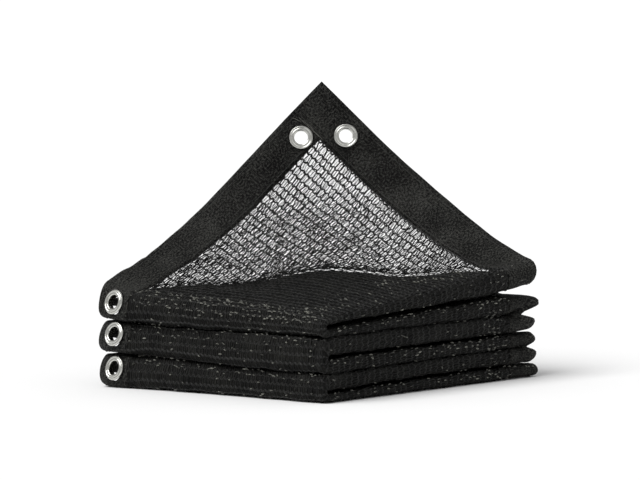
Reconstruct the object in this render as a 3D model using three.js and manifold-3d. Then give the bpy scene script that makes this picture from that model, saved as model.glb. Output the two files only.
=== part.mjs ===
// A knitted shade cloth with a wide woven tape on its edges and metal eyelets in the tape.
// It is folded lengthwise in half, then back and forth into a square pack of six double layers.
// The far corner of its top ply is raised and faces the near corner of the pack.
// Sizes are millimetres and +Z is up. The near corner of the pack points along -Y.

import * as THREE from "three";
import { mergeVertices } from "three/addons/utils/BufferGeometryUtils.js";
import Module from "manifold-3d";

const wasm = await Module();
wasm.setup();

// The pack and its sheets
const SIDE = 280; // each side of the square pack
const KNIT = 2.2; // thickness of the knitted net
const TAPE = 2.6; // thickness of the doubled woven tape
const TAPE_WIDTH = 37;
const SEAM = 0.35; // clearance between a tape and the net that it is sewn to
const LAYER_GAP = 0.5; // clearance of each double layer to the level that parts it from the next

// The lengthwise fold, on the front right side
const FOLD_DEPTH = 7;
const FOLD_DEPTH_RIGHT = 12; // the same at the right corner, where the layers thin out
const SLIT_REACH = 60; // how far the slits between the layers reach in from that side

// The bends on the front left side and on the back right side
const FRONT_DEPTH = { near: 8, left: 12 };
const BACK_DEPTH = 9;
const FRONT_LEAN = { near: 1.8, left: 4 }; // how far its upper half leans back
const ROUND = 0.9; // power of the bend's outline where it is round
const BOXY = 0.45; // the same in the tape, where an eyelet holds the bend flat
const BOXY_ZONE = { from: 62, to: 34 }; // where the outline turns boxy, from the left corner
const EDGE_ZONE = 12.3; // width, along the cloth's edge, over which it turns round again
const NOTCH_SPREAD = 0.35; // angle, in radians, over which a notch cuts into a back bend
const TIP_ROUND = 0.5; // power of the outline of the tips on both sides of a notch
const NOTCH_REACH = 50; // how far notches and tips reach in from the right corner
const NOTCH_SLACK = 2; // how much of a notch the inner ply doesn't need to make room for
const MOUTH_REACH = 50; // how far the open mouths reach in from the right corner

// Levels between the double layers, from the floor up, at the four corners of the pack.
// slit: extra clearance along the front right side. mouth: the same at the right corner.
const LEVELS = [
  { near: 0, left: 0, right: 0, far: 0, slit: 0, mouth: 0 },
  { near: 9.5, left: 16.5, right: 13, far: 14, slit: 0.8, mouth: -0.7 },
  { near: 25, left: 30, right: 28, far: 28, slit: 0, mouth: 1.2 },
  { near: 38, left: 46.5, right: 42, far: 43, slit: 0.8, mouth: -0.7 },
  { near: 55, left: 60, right: 60, far: 58, slit: 0, mouth: 4 },
  { near: 64, left: 76.5, right: 79, far: 74, slit: 0.8, mouth: 4.5 },
  { near: 73, left: 89, right: 104, far: 94, slit: 0, mouth: 0 },
];
const TOP_CROWN = 11; // how far the middle of the top ply stands above its corners' mean
const TOP_LAYER = LEVELS.length - 1;

// Unevenness of the levels: its height, and its angles, in radians, over a side and per level
const LEVEL_WAVE = { height: 0.9, overP: 5.1, overQ: 4.3, perLevelP: 1.9, perLevelQ: 2.7 };

// Swells of the top ply, by their place along the diagonal from the left to the right corner
const TOP_SWELLS = [
  { x: -62, height: -5, spread: 34 },
  { x: 5, height: 2.5, spread: 34 },
  { x: 78, height: -4.5, spread: 34 },
];

// The three bends at the front and the two at the back, from the top down.
// wave: unevenness of the edge. notch: depth of the notch at the right corner.
// tips: how far its upper and its lower layer reach out there, on both sides of the notch.
const BENDS = [
  { front: true, wave: 1.6, phase: 0.3 },
  { front: false, notch: 33, upperTip: 18, lowerTip: 10 },
  { front: true, wave: 1.4, phase: 2.1 },
  { front: false, notch: 18, upperTip: 5, lowerTip: 7 },
  { front: true, wave: 1.2, phase: 4.4 },
];
const FOLD_WAVES = 1.2; // number of waves of a front bend's edge
const WAVE_FADE = 1.4; // share of the side at which those waves have died out

// Tilt of the raised corner, by distance beyond the diagonal of the pack, along the flat cloth
const CURL = [
  { from: -8, tilt: 0 },
  { from: 12, tilt: 36 },
  { from: 40, tilt: 44 },
  { from: 74, tilt: 50.5 },
  { from: 100, tilt: 70 },
  { from: 130, tilt: 80 },
  { from: 210, tilt: 84 },
];
const CURL_STEP = 1;
const PEAK_RISE = 164; // how far the curl lifts the peak
const SWELL_HEIGHT = 40; // height above the diagonal over which the swells of the top ply die out
const CURL_BLEND = 12; // distance beyond the diagonal at which the ply has left the pack's level
const RAISED_LEAN = 9; // how far the peak leans to the right

// Swells of the raised hems: the side they are on, the distance beyond the diagonal at their
// middle, and how far they spread. They fade out over HEM_REACH towards the middle of the ply.
const HEM_SWELLS = [
  { side: -1, distance: 16, spread: 20, height: 3.2 },
  { side: 1, distance: 95, spread: 44, height: 6.5 },
];
const HEM_REACH = 150;

// The eyelets
// Radii of its ring, hole, barrel and washer
const EYELET = { outer: 11.25, hole: 6.25, barrel: 6.9, washer: 7.65 };
// Heights of its parts over the tape's outer face, or below the tape's inner face
const EYELET_RIM = { seat: 0.3, lip: 1.1, brim: 1.3, crest: 2 };
const EYELET_BACK = { washerTop: 1, washerBottom: 1.6, roll: 1.8, end: 2.5 };
const EYELET_ROUNDING = { edge: 0.5, brim: 2.2, mouth: 1, roll: 0.3 };
const EYELET_FROM_EDGE = 20; // the centre of those in the bends, from the edge of the tape
// The same at the raised corner, and their distance from the other edge there
const CORNER_EYELETS = {
  left: { fromEdge: 24, fromOther: 48.5 },
  right: { fromEdge: 19.7, fromOther: 54.3 },
};
const BEND_EYELET_RISE = 0.15; // its height above the bend's middle, as a share of the upper half
const EYELET_SECTORS = 14;

const HALF_DIAGONAL = SIDE / Math.SQRT2;
const FOLD_ARC = (FOLD_DEPTH * Math.PI) / 2; // half the length of the lengthwise fold's arc
const HALF_WIDTH = FOLD_ARC + SIDE - FOLD_DEPTH; // half the width of the flat cloth
// The tape's share of a layer's length, at an open end and at a bend
const OPEN_TAPE_SHARE = TAPE_WIDTH / (SIDE - FRONT_DEPTH.left);
const BENT_TAPE_SHARE = (TAPE_WIDTH - BACK_DEPTH) / (SIDE - BACK_DEPTH - FRONT_DEPTH.left);
const LAST = 2 * TOP_LAYER - 1; // the cloth's course: even steps are layers, odd ones bends

const lerp = (a, b, f) => a + (b - a) * f;
const clamp01 = (v) => Math.min(1, Math.max(0, v));
const smooth = (from, to, v) => THREE.MathUtils.smoothstep(v, from, to);
const signedPower = (v, power) => Math.sign(v) * Math.abs(v) ** power;

// Places in the pack are p, from the front right side, and q, from the front left side.
function toPlan(p, q) {
  return {
    x: (q - p) / Math.SQRT2,
    y: (p + q) / Math.SQRT2 - HALF_DIAGONAL,
  };
}

// Height of level k at p, q.
function level(k, p, q) {
  const row = LEVELS[k];
  const a = clamp01(p / SIDE);
  const b = clamp01(q / SIDE);
  const front = lerp(row.near, row.left, a);
  const back = lerp(row.right, row.far, a);
  const crown = k === TOP_LAYER ? TOP_CROWN * 16 * a * (1 - a) * b * (1 - b) : 0;
  const wave =
    Math.sin(LEVEL_WAVE.overP * a + LEVEL_WAVE.perLevelP * k) *
    Math.sin(LEVEL_WAVE.overQ * b + LEVEL_WAVE.perLevelQ * (k + 1));
  return lerp(front, back, b) + crown + (k === 0 ? 0 : LEVEL_WAVE.height * wave);
}

// The swells of the top ply at p, q, which fade out towards the pack's front sides.
function topSwell(p, q) {
  const { x, y } = toPlan(p, q);
  const fade = smooth(-HALF_DIAGONAL / 2, 0, y) * smooth(0, SLIT_REACH, Math.min(p, q));
  const rise = TOP_SWELLS.reduce(
    (sum, swell) => sum + swell.height * Math.exp(-(((x - swell.x) / swell.spread) ** 2)),
    0,
  );
  return fade * rise;
}

// Clearance on each side of level k at p, q.
function clearance(k, p, q) {
  if (k === 0 || k === TOP_LAYER) return 0;
  const row = LEVELS[k];
  const fromRight = Math.hypot(p, SIDE - q);
  const slit = row.slit * clamp01(1 - p / SLIT_REACH);
  const mouth = row.mouth * clamp01(1 - fromRight / MOUTH_REACH);
  return LAYER_GAP + slit + mouth;
}

const ceilingOf = (k, p, q) => level(k, p, q) - clearance(k, p, q);
const floorOf = (k, p, q) => level(k - 1, p, q) + clearance(k - 1, p, q);

const frontDepth = (p) => lerp(FRONT_DEPTH.near, FRONT_DEPTH.left, clamp01(p / SIDE));
const frontLean = (p) => lerp(FRONT_LEAN.near, FRONT_LEAN.left, clamp01(p / SIDE));

function outlinePower(p) {
  const inTape = smooth(SIDE - BOXY_ZONE.from, SIDE - BOXY_ZONE.to, p);
  return lerp(ROUND, BOXY, inTape * (1 - smooth(SIDE - EDGE_ZONE, SIDE, p)));
}

// Where the layers that meet a bend begin to turn, as q.
function frontTurn(bend, p) {
  const wave = bend.wave * Math.sin((2 * Math.PI * FOLD_WAVES * p) / SIDE + bend.phase);
  return frontDepth(p) + wave * clamp01(WAVE_FADE - p / SIDE);
}
const BACK_TURN = SIDE - BACK_DEPTH;
const nearRight = (p) => Math.exp(-p / NOTCH_REACH);
// The inner ply turns back sooner than the outer one, to stay clear of the notch.
const innerBackTurn = (bend, p) =>
  BACK_TURN - Math.max(0, bend.notch * nearRight(p) - NOTCH_SLACK);

// The outer faces of the two plies of a layer, at v from its back end (0) to its front end (1).
function layerFaces(index, v, p) {
  const k = TOP_LAYER - index;
  const above = BENDS[index - 1];
  const below = BENDS[index];
  const frontBend = [above, below].find((bend) => bend && bend.front);
  const backBend = [above, below].find((bend) => bend && !bend.front);
  const qFront = frontTurn(frontBend, p);
  const outer = lerp(backBend ? BACK_TURN : SIDE, qFront, v);
  let inner = outer;
  if (backBend && v < BENT_TAPE_SHARE) {
    const seam = lerp(BACK_TURN, qFront, BENT_TAPE_SHARE);
    inner = lerp(innerBackTurn(backBend, p), seam, v / BENT_TAPE_SHARE);
  }
  // The first ply is on top in every other layer, and it is the inner one at the back bends.
  const firstOnTop = index % 2 === 0;
  const swell = index === 0 ? topSwell(p, inner) : 0;
  const heightFirst = firstOnTop ? ceilingOf(k, p, inner) + swell : floorOf(k, p, inner);
  const heightSecond = firstOnTop ? floorOf(k, p, outer) : ceilingOf(k, p, outer);
  return {
    first: { q: inner, z: heightFirst },
    second: { q: outer, z: heightSecond },
  };
}

// The outer faces of the two plies in a bend, at turn from its upper layer (0) to its lower (1).
function bendFaces(index, turn, p) {
  const bend = BENDS[index];
  const k = TOP_LAYER - index - 1; // the level inside the bend
  const angle = Math.PI * turn;
  const q = bend.front ? frontTurn(bend, p) : BACK_TURN;
  const power = bend.front ? outlinePower(p) : ROUND;
  const out = signedPower(Math.sin(angle), power);
  const up = signedPower(Math.cos(angle), power);
  const middle = level(k, p, q);
  const rise = up > 0 ? ceilingOf(k + 1, p, q) - middle : middle - floorOf(k, p, q);
  if (bend.front) {
    const lean = frontLean(p) * out * up;
    const gap = clearance(k, p, q);
    return {
      first: { q: q - frontDepth(p) * out + lean, z: middle + rise * up },
      second: { q: q - gap * Math.sin(angle), z: middle + gap * Math.cos(angle) },
    };
  }
  const offMiddle = (angle - Math.PI / 2) / NOTCH_SPREAD;
  const notch = bend.notch * Math.exp(-offMiddle * offMiddle) * Math.sin(angle);
  const reach = up > 0 ? bend.upperTip : bend.lowerTip;
  const tip = reach * Math.abs(Math.sin(2 * angle)) ** TIP_ROUND;
  const inner = innerBackTurn(bend, p);
  const gap = clearance(k, p, inner);
  return {
    first: {
      q: inner + gap * Math.sin(angle),
      z: level(k, p, inner) + gap * Math.cos(angle),
    },
    second: {
      q: q + BACK_DEPTH * out + (tip - notch) * nearRight(p),
      z: middle + rise * up,
    },
  };
}

function facesAt(u, p) {
  const step = Math.min(LAST - 1, Math.floor(u));
  const part = u - step;
  const index = Math.floor(step / 2);
  if (step % 2) return bendFaces(index, part, p);
  return layerFaces(index, index % 2 === 0 ? part : 1 - part, p);
}

// How far the cloth beyond the diagonal has moved back and up, by its flat distance from it.
function curlAt(distance) {
  let back = CURL[0].from;
  let up = 0;
  for (let d = CURL[0].from; d < distance; d += CURL_STEP) {
    const length = Math.min(CURL_STEP, distance - d);
    const at = d + length / 2;
    const next = Math.max(1, CURL.findIndex((row) => row.from > at));
    const share = (at - CURL[next - 1].from) / (CURL[next].from - CURL[next - 1].from);
    const tilt = THREE.MathUtils.degToRad(lerp(CURL[next - 1].tilt, CURL[next].tilt, share));
    back += length * Math.cos(tilt);
    up += length * Math.sin(tilt);
  }
  return { back, up };
}

// Raises a place of the top ply that lies beyond the diagonal. share: how much of it belongs there.
function raise(point, p, q, share) {
  const flat = toPlan(p, q);
  if (share <= 0 || flat.y <= CURL[0].from) return point;
  const { back, up } = curlAt(flat.y);
  const fromMiddle = flat.x / Math.SQRT2;
  const onDiagonal = level(TOP_LAYER, SIDE / 2 - fromMiddle, SIDE / 2 + fromMiddle);
  const swellOnDiagonal = topSwell(SIDE / 2 - fromMiddle, SIDE / 2 + fromMiddle);
  const left = smooth(CURL[0].from, CURL_BLEND, flat.y);
  const ground = lerp(point.z, onDiagonal + swellOnDiagonal * Math.exp(-up / SWELL_HEIGHT), left);
  const hemSwell = HEM_SWELLS.reduce((sum, swell) => {
    const off = (flat.y - swell.distance) / swell.spread;
    const near = smooth(0, HEM_REACH, swell.side * flat.x);
    return sum + swell.height * Math.exp(-off * off) * near;
  }, 0);
  point.x += (share * RAISED_LEAN * up) / PEAK_RISE;
  point.y += share * (back - flat.y);
  point.z = lerp(point.z, ground + up + hemSwell, share);
  return point;
}

// The outer face of the folded cloth, at u along its course and t across its flat width.
function clothPoint(u, t) {
  const arc = Math.abs(t) < FOLD_ARC;
  const isFirst = t < 0;
  const angle = ((t / FOLD_ARC + 1) * Math.PI) / 2;
  const rough = facesAt(u, FOLD_DEPTH);
  const toRight = smooth(SIDE - 80, SIDE, Math.max(rough.first.q, rough.second.q));
  const depth = lerp(FOLD_DEPTH, FOLD_DEPTH_RIGHT, toRight);
  const along = (Math.abs(t) - FOLD_ARC) / (SIDE - FOLD_DEPTH);
  const p = arc ? depth : depth + along * (SIDE - depth);
  const { first, second } = facesAt(u, p);
  let face = isFirst ? first : second;
  let placeP = p;
  let firstShare = isFirst ? 1 : 0;
  if (arc) {
    firstShare = (1 + Math.cos(angle)) / 2;
    face = {
      q: lerp(second.q, first.q, firstShare),
      z: lerp(second.z, first.z, firstShare),
    };
    placeP = depth * (1 - Math.sin(angle));
  }
  const plan = toPlan(placeP, face.q);
  const point = new THREE.Vector3(plan.x, plan.y, face.z);
  const turning = u < 1 ? 1 : clamp01(Math.cos(Math.PI * Math.min(1, u - 1)));
  return raise(point, placeP, face.q, firstShare * turning);
}

// Unit normal of the outer face.
const NORMAL_PROBE = { du: 0.004, dt: 0.4 };
function clothNormal(u, t) {
  const { du, dt } = NORMAL_PROBE;
  const alongU = clothPoint(Math.min(LAST, u + du), t).sub(clothPoint(Math.max(0, u - du), t));
  const alongT = clothPoint(u, Math.min(HALF_WIDTH, t + dt)).sub(
    clothPoint(u, Math.max(-HALF_WIDTH, t - dt)),
  );
  return alongU.cross(alongT).normalize();
}

// A stretch of the folded cloth as a closed sheet of the given thickness.
function foldedSheet(courseStops, widthStops, thickness) {
  const rows = courseStops.length;
  const columns = widthStops.length;
  const positions = [];
  for (const depth of [0, thickness]) {
    for (const u of courseStops) {
      for (const t of widthStops) {
        const point = clothPoint(u, t).addScaledVector(clothNormal(u, t), -depth);
        positions.push(point.x, point.y, point.z);
      }
    }
  }
  const outer = (i, j) => i * columns + j;
  const inner = (i, j) => rows * columns + outer(i, j);
  const triangles = [];
  const quad = (a, b, c, d) => triangles.push(a, b, d, b, c, d);
  for (let i = 0; i + 1 < rows; i += 1) {
    for (let j = 0; j + 1 < columns; j += 1) {
      quad(outer(i, j), outer(i + 1, j), outer(i + 1, j + 1), outer(i, j + 1));
      quad(inner(i, j + 1), inner(i + 1, j + 1), inner(i + 1, j), inner(i, j));
    }
    quad(outer(i + 1, 0), outer(i, 0), inner(i, 0), inner(i + 1, 0));
    const end = columns - 1;
    quad(outer(i, end), outer(i + 1, end), inner(i + 1, end), inner(i, end));
  }
  for (let j = 0; j + 1 < columns; j += 1) {
    quad(outer(0, j), outer(0, j + 1), inner(0, j + 1), inner(0, j));
    const end = rows - 1;
    quad(outer(end, j + 1), outer(end, j), inner(end, j), inner(end, j + 1));
  }
  const geometry = new THREE.BufferGeometry();
  geometry.setAttribute("position", new THREE.Float32BufferAttribute(positions, 3));
  geometry.setIndex(triangles);
  return geometry;
}

const between = (from, to, count) =>
  Array.from({ length: count + 1 }, (_, i) => lerp(from, to, i / count));

// Stops along the course. A layer's tape takes the share next to its back end.
const SEAM_SHARE = SEAM / (2 * SIDE);
const COURSE = {
  tapeSteps: 2,
  topSteps: 14,
  layerSteps: 4,
  frontSteps: 8,
  backSteps: 8,
};

// u of a place in a layer, at share from its back end.
const uOf = (index, share) => 2 * index + (index % 2 === 0 ? share : 1 - share);

function tapeShareOf(index) {
  const hasOpenEnd = index === 0 || index === TOP_LAYER - 1;
  return hasOpenEnd ? OPEN_TAPE_SHARE : BENT_TAPE_SHARE;
}

function tapeStops(index) {
  const stops = between(0, tapeShareOf(index) - SEAM_SHARE, COURSE.tapeSteps);
  const course = stops.map((share) => uOf(index, share));
  return index % 2 === 0 ? course : course.reverse();
}

function netStops(index) {
  const steps = index === 0 ? COURSE.topSteps : COURSE.layerSteps;
  const stops = between(tapeShareOf(index) + SEAM_SHARE, 1, steps);
  const course = stops.map((share) => uOf(index, share));
  return index % 2 === 0 ? course : course.reverse();
}

function bendStops(index) {
  const steps = BENDS[index].front ? COURSE.frontSteps : COURSE.backSteps;
  return between(2 * index + 1, 2 * index + 2, steps);
}

const joined = (...lists) => [...new Set(lists.flat())];

// Stops across the width. The first ply is at negative t and the second at positive t.
const NET_EDGE = HALF_WIDTH - TAPE_WIDTH;
const FOLD_STEPS = 4;
const foldStops = between(-FOLD_ARC, FOLD_ARC, FOLD_STEPS);
const plyStops = (steps) => between(FOLD_ARC, NET_EDGE - SEAM / 2, steps);
const edgeStops = (steps) => between(NET_EDGE + SEAM / 2, HALF_WIDTH, steps);
const mirrored = (stops) => stops.map((t) => -t).reverse();
const TOP_PLY_STEPS = 13;
const PLY_STEPS = 5;
const EDGE_STEPS = 3;
const netWidth = (firstSteps) =>
  joined(mirrored(plyStops(firstSteps)), foldStops, plyStops(PLY_STEPS));
const fullWidth = (firstSteps) =>
  joined(
    mirrored(joined(plyStops(firstSteps), edgeStops(EDGE_STEPS))),
    foldStops,
    plyStops(PLY_STEPS),
    edgeStops(EDGE_STEPS),
  );

// The seat of an eyelet: its centre on the tape's outer face and the face's normal.
function eyeletSeat(u, t) {
  return { centre: clothPoint(u, t), axis: clothNormal(u, t) };
}

function alongAxis(geometry, seat) {
  const turn = new THREE.Quaternion().setFromUnitVectors(new THREE.Vector3(0, 0, 1), seat.axis);
  const place = new THREE.Matrix4().compose(seat.centre, turn, new THREE.Vector3(1, 1, 1));
  return geometry.applyMatrix4(place);
}

// A ring about +Z from a closed profile of radius and height.
function ring(profile) {
  const points = profile.map(([radius, height]) => new THREE.Vector2(radius, height));
  points.push(points[0].clone());
  return new THREE.LatheGeometry(points, EYELET_SECTORS).rotateX(Math.PI / 2);
}

// The ring, its barrel through the tape and the roll that holds the washer on
function eyeletRing() {
  const rollTop = -(TAPE + EYELET_BACK.roll);
  const end = -(TAPE + EYELET_BACK.end);
  const rollEdge = EYELET.washer - EYELET_ROUNDING.roll;
  return ring([
    [EYELET.hole, end + EYELET_ROUNDING.roll],
    [EYELET.barrel, end],
    [rollEdge, end + EYELET_ROUNDING.roll / 2],
    [rollEdge, rollTop - EYELET_ROUNDING.roll / 2],
    [EYELET.barrel, rollTop],
    [EYELET.barrel, EYELET_RIM.seat],
    [EYELET.outer, EYELET_RIM.seat],
    [EYELET.outer - EYELET_ROUNDING.edge, EYELET_RIM.brim],
    [EYELET.outer - EYELET_ROUNDING.brim, EYELET_RIM.crest],
    [EYELET.hole + EYELET_ROUNDING.mouth, EYELET_RIM.crest],
    [EYELET.hole, EYELET_RIM.lip],
  ]);
}

function washerRing() {
  const top = -(TAPE + EYELET_BACK.washerTop);
  const bottom = -(TAPE + EYELET_BACK.washerBottom);
  return ring([
    [EYELET.barrel + SEAM, bottom],
    [EYELET.washer, bottom],
    [EYELET.washer, top],
    [EYELET.barrel + SEAM, top],
  ]);
}

function solidOf(geometry) {
  const bare = geometry.clone();
  bare.deleteAttribute("normal");
  bare.deleteAttribute("uv");
  const merged = mergeVertices(bare, 1e-3);
  const mesh = new wasm.Mesh({
    numProp: 3,
    vertProperties: new Float32Array(merged.attributes.position.array),
    triVerts: new Uint32Array(merged.index.array),
  });
  return new wasm.Manifold(mesh);
}

function geometryOf(solid) {
  const mesh = solid.getMesh();
  const geometry = new THREE.BufferGeometry();
  geometry.setAttribute("position", new THREE.Float32BufferAttribute(mesh.vertProperties, 3));
  geometry.setIndex(new THREE.Uint32BufferAttribute(mesh.triVerts, 1));
  return geometry;
}

// Cuts the holes that the eyelets pass through.
function withEyeletHoles(geometry, seats) {
  const reach = 2 * TAPE;
  const cut = seats.reduce((solid, seat) => {
    const drill = new THREE.CylinderGeometry(
      EYELET.barrel + SEAM,
      EYELET.barrel + SEAM,
      2 * reach,
      EYELET_SECTORS,
    );
    drill.rotateX(Math.PI / 2);
    return solid.subtract(solidOf(alongAxis(drill, seat)));
  }, solidOf(geometry));
  return geometryOf(cut);
}

const group = new THREE.Group();

function add(name, geometry, finish) {
  const mesh = new THREE.Mesh(geometry, new THREE.MeshStandardMaterial(finish));
  mesh.name = name;
  group.add(mesh);
}

const NET_FINISH = { color: 0x1d1e1b, roughness: 0.75, metalness: 0 };
const TAPE_FINISH = { color: 0x20211d, roughness: 0.8, metalness: 0 };
const METAL_FINISH = { color: 0xc9cac6, roughness: 0.3, metalness: 1 };

// The three net panels, each a front bend with the layer above it and the layer below it
const PANELS = ["net_panel_top", "net_panel_middle", "net_panel_bottom"];
PANELS.forEach((name, row) => {
  const upper = 2 * row;
  const course = joined(netStops(upper), bendStops(upper), netStops(upper + 1));
  const width = netWidth(row === 0 ? TOP_PLY_STEPS : PLY_STEPS);
  add(name, foldedSheet(course, width, KNIT), NET_FINISH);
});

// The tapes that join the panels, around the back bends
const JOINTS = ["joint_tape_upper", "joint_tape_lower"];
JOINTS.forEach((name, row) => {
  const upper = 2 * row + 1;
  const course = joined(tapeStops(upper), bendStops(upper), tapeStops(upper + 1));
  add(name, foldedSheet(course, netWidth(PLY_STEPS), TAPE), TAPE_FINISH);
});

// The seats of the eyelets: two in the raised corner and one in each front bend
const cornerShare = (fromBack) => fromBack / (SIDE - FRONT_DEPTH.left);
const endSeat = eyeletSeat(
  uOf(0, cornerShare(CORNER_EYELETS.right.fromEdge)),
  -(HALF_WIDTH - CORNER_EYELETS.right.fromOther),
);
const eyeletTurn = Math.acos(BEND_EYELET_RISE ** (1 / BOXY)) / Math.PI;
const edgeSeats = [
  eyeletSeat(
    uOf(0, cornerShare(CORNER_EYELETS.left.fromOther)),
    -(HALF_WIDTH - CORNER_EYELETS.left.fromEdge),
  ),
  ...BENDS.flatMap((bend, index) =>
    bend.front ? [eyeletSeat(2 * index + 1 + eyeletTurn, -(HALF_WIDTH - EYELET_FROM_EDGE))] : [],
  ),
];

// The tapes on the two short ends: the top one runs up the raised corner's right edge
const endTapeTop = foldedSheet(tapeStops(0), fullWidth(TOP_PLY_STEPS), TAPE);
add("end_tape_top", withEyeletHoles(endTapeTop, [endSeat]), TAPE_FINISH);
const bottomCourse = tapeStops(TOP_LAYER - 1);
add("end_tape_bottom", foldedSheet(bottomCourse, fullWidth(PLY_STEPS), TAPE), TAPE_FINISH);

// The tapes on the two long edges, along the whole course between the end tapes
const edgeCourse = joined(
  ...LEVELS.slice(1).flatMap((_, index) => {
    const tape = index === 0 || index === TOP_LAYER - 1 ? [] : tapeStops(index);
    const layer = index % 2 === 0 ? [tape, netStops(index)] : [netStops(index), tape];
    return index < BENDS.length ? [...layer, bendStops(index)] : layer;
  }),
);
const firstEdge = foldedSheet(edgeCourse, mirrored(edgeStops(EDGE_STEPS)), TAPE);
add("edge_tape_eyelets", withEyeletHoles(firstEdge, edgeSeats), TAPE_FINISH);
add("edge_tape_plain", foldedSheet(edgeCourse, edgeStops(EDGE_STEPS), TAPE), TAPE_FINISH);

// The eyelets, each a ring with its washer behind the tape
const EYELETS = [
  { place: "corner_right", seat: endSeat },
  { place: "corner_left", seat: edgeSeats[0] },
  { place: "fold_upper", seat: edgeSeats[1] },
  { place: "fold_middle", seat: edgeSeats[2] },
  { place: "fold_lower", seat: edgeSeats[3] },
];
for (const { place, seat } of EYELETS) {
  add(`eyelet_${place}`, alongAxis(eyeletRing(), seat), METAL_FINISH);
  add(`washer_${place}`, alongAxis(washerRing(), seat), METAL_FINISH);
}

// The origin is the middle of the base of the whole part.
const box = new THREE.Box3().setFromObject(group);
group.position.set(-(box.min.x + box.max.x) / 2, -(box.min.y + box.max.y) / 2, -box.min.z);

export default group;
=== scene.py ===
"""A knitted shade cloth, folded into a square pack of six double layers with one corner raised.

Wide woven tape runs round the cloth's edges and metal eyelets sit in the tape. Every fold is worked
out from the same sizes as the solids, in millimetres, and turned to metres when a mesh is made.
"""

import math

import bmesh
import bpy
import numpy as np
from mathutils import Matrix, Vector


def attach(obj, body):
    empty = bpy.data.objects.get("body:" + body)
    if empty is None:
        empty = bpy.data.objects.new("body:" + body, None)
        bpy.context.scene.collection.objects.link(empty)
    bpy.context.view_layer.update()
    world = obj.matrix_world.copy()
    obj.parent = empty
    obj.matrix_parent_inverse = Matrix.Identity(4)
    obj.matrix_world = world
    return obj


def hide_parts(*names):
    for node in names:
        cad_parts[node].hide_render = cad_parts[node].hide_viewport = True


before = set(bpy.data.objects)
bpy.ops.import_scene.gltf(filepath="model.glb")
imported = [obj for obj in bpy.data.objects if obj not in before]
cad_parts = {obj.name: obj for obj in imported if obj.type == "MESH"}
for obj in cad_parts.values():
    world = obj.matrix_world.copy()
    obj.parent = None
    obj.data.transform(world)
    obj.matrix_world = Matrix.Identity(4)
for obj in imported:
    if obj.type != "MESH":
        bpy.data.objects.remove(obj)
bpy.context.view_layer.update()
MM = 0.001
RANDOM = np.random.default_rng(7)

# The pack and its sheets, in mm
SIDE = 280.0
TAPE_WIDTH = 37.0
SEAM = 0.35
LAYER_GAP = 0.5
FOLD_DEPTH = 7.0
FOLD_DEPTH_RIGHT = 12.0
FOLD_WIDENS_OVER = 80.0
SLIT_REACH = 60.0
FRONT_DEPTH_NEAR = 8.0
FRONT_DEPTH_LEFT = 12.0
BACK_DEPTH = 9.0
FRONT_LEAN_NEAR = 1.8
FRONT_LEAN_LEFT = 4.0
NOTCH_REACH = 50.0
NOTCH_SLACK = 2.0
MOUTH_REACH = 50.0

# Powers that shape a bend: nearly round, and boxy between two places where the tape stiffens it
ROUND = 0.9
BOXY = 0.45
BOXY_FROM = 62.0
BOXY_TO = 34.0
EDGE_ZONE = 12.3
# A notch's spread, in radians round the bend, and the power that makes the lobes beside it blunt
NOTCH_SPREAD = 0.26
TIP_ROUND = 0.38

# Levels between the double layers at the near, left, right and far corners, and their clearances
LEVELS = [
    {"near": 0, "left": 0, "right": 0, "far": 0, "slit": 0, "mouth": 0},
    {"near": 9.5, "left": 16.5, "right": 13, "far": 14, "slit": 0.8, "mouth": -0.7},
    {"near": 25, "left": 30, "right": 28, "far": 28, "slit": 0, "mouth": 1.2},
    {"near": 38, "left": 46.5, "right": 42, "far": 43, "slit": 0.8, "mouth": -0.7},
    {"near": 55, "left": 60, "right": 60, "far": 58, "slit": 0, "mouth": 4},
    {"near": 64, "left": 76.5, "right": 79, "far": 74, "slit": 0.8, "mouth": 4.5},
    {"near": 73, "left": 89, "right": 104, "far": 94, "slit": 0, "mouth": 0},
]
TOP_CROWN = 11.0
TOP_LAYER = len(LEVELS) - 1
LEVEL_WAVE = {"height": 0.9, "over_p": 5.1, "over_q": 4.3, "per_level_p": 1.9, "per_level_q": 2.7}
TOP_SWELLS = [
    {"x": -62, "height": -5, "spread": 34},
    {"x": 5, "height": 2.5, "spread": 34},
    {"x": 78, "height": -4.5, "spread": 34},
]

# The bends, from the top down: wave and phase of a front edge, notch and tips of a back one
BENDS = [
    {"front": True, "wave": 1.6, "phase": 0.3},
    {"front": False, "notch": 33, "upper_tip": 18, "lower_tip": 10},
    {"front": True, "wave": 1.4, "phase": 2.1},
    {"front": False, "notch": 18, "upper_tip": 5, "lower_tip": 7},
    {"front": True, "wave": 1.2, "phase": 4.4},
]
FOLD_WAVES = 1.2
WAVE_FADE = 1.4

# Tilt of the raised corner, in degrees, by distance beyond the diagonal along the flat cloth
CURL_FROM = [-8, 12, 40, 74, 100, 130, 210]
CURL_TILT = [0, 36, 44, 50.5, 70, 80, 84]
CURL_BLEND = 12.0
PEAK_RISE = 164.0
SWELL_HEIGHT = 40.0
RAISED_LEAN = 9.0
HEM_SWELLS = [
    {"side": -1, "distance": 16, "spread": 20, "height": 3.2},
    {"side": 1, "distance": 95, "spread": 44, "height": 6.5},
]
HEM_REACH = 150.0

# The eyelets
EYELET_OUTER = 11.25
EYELET_HOLE = 6.25
EYELET_FROM_EDGE = 20.0
# The same at the raised corner, and their distance from the other edge there
LEFT_EYELET = {"from_edge": 24.0, "from_other": 48.5}
RIGHT_EYELET = {"from_edge": 19.7, "from_other": 54.3}
BEND_EYELET_RISE = 0.15

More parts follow.
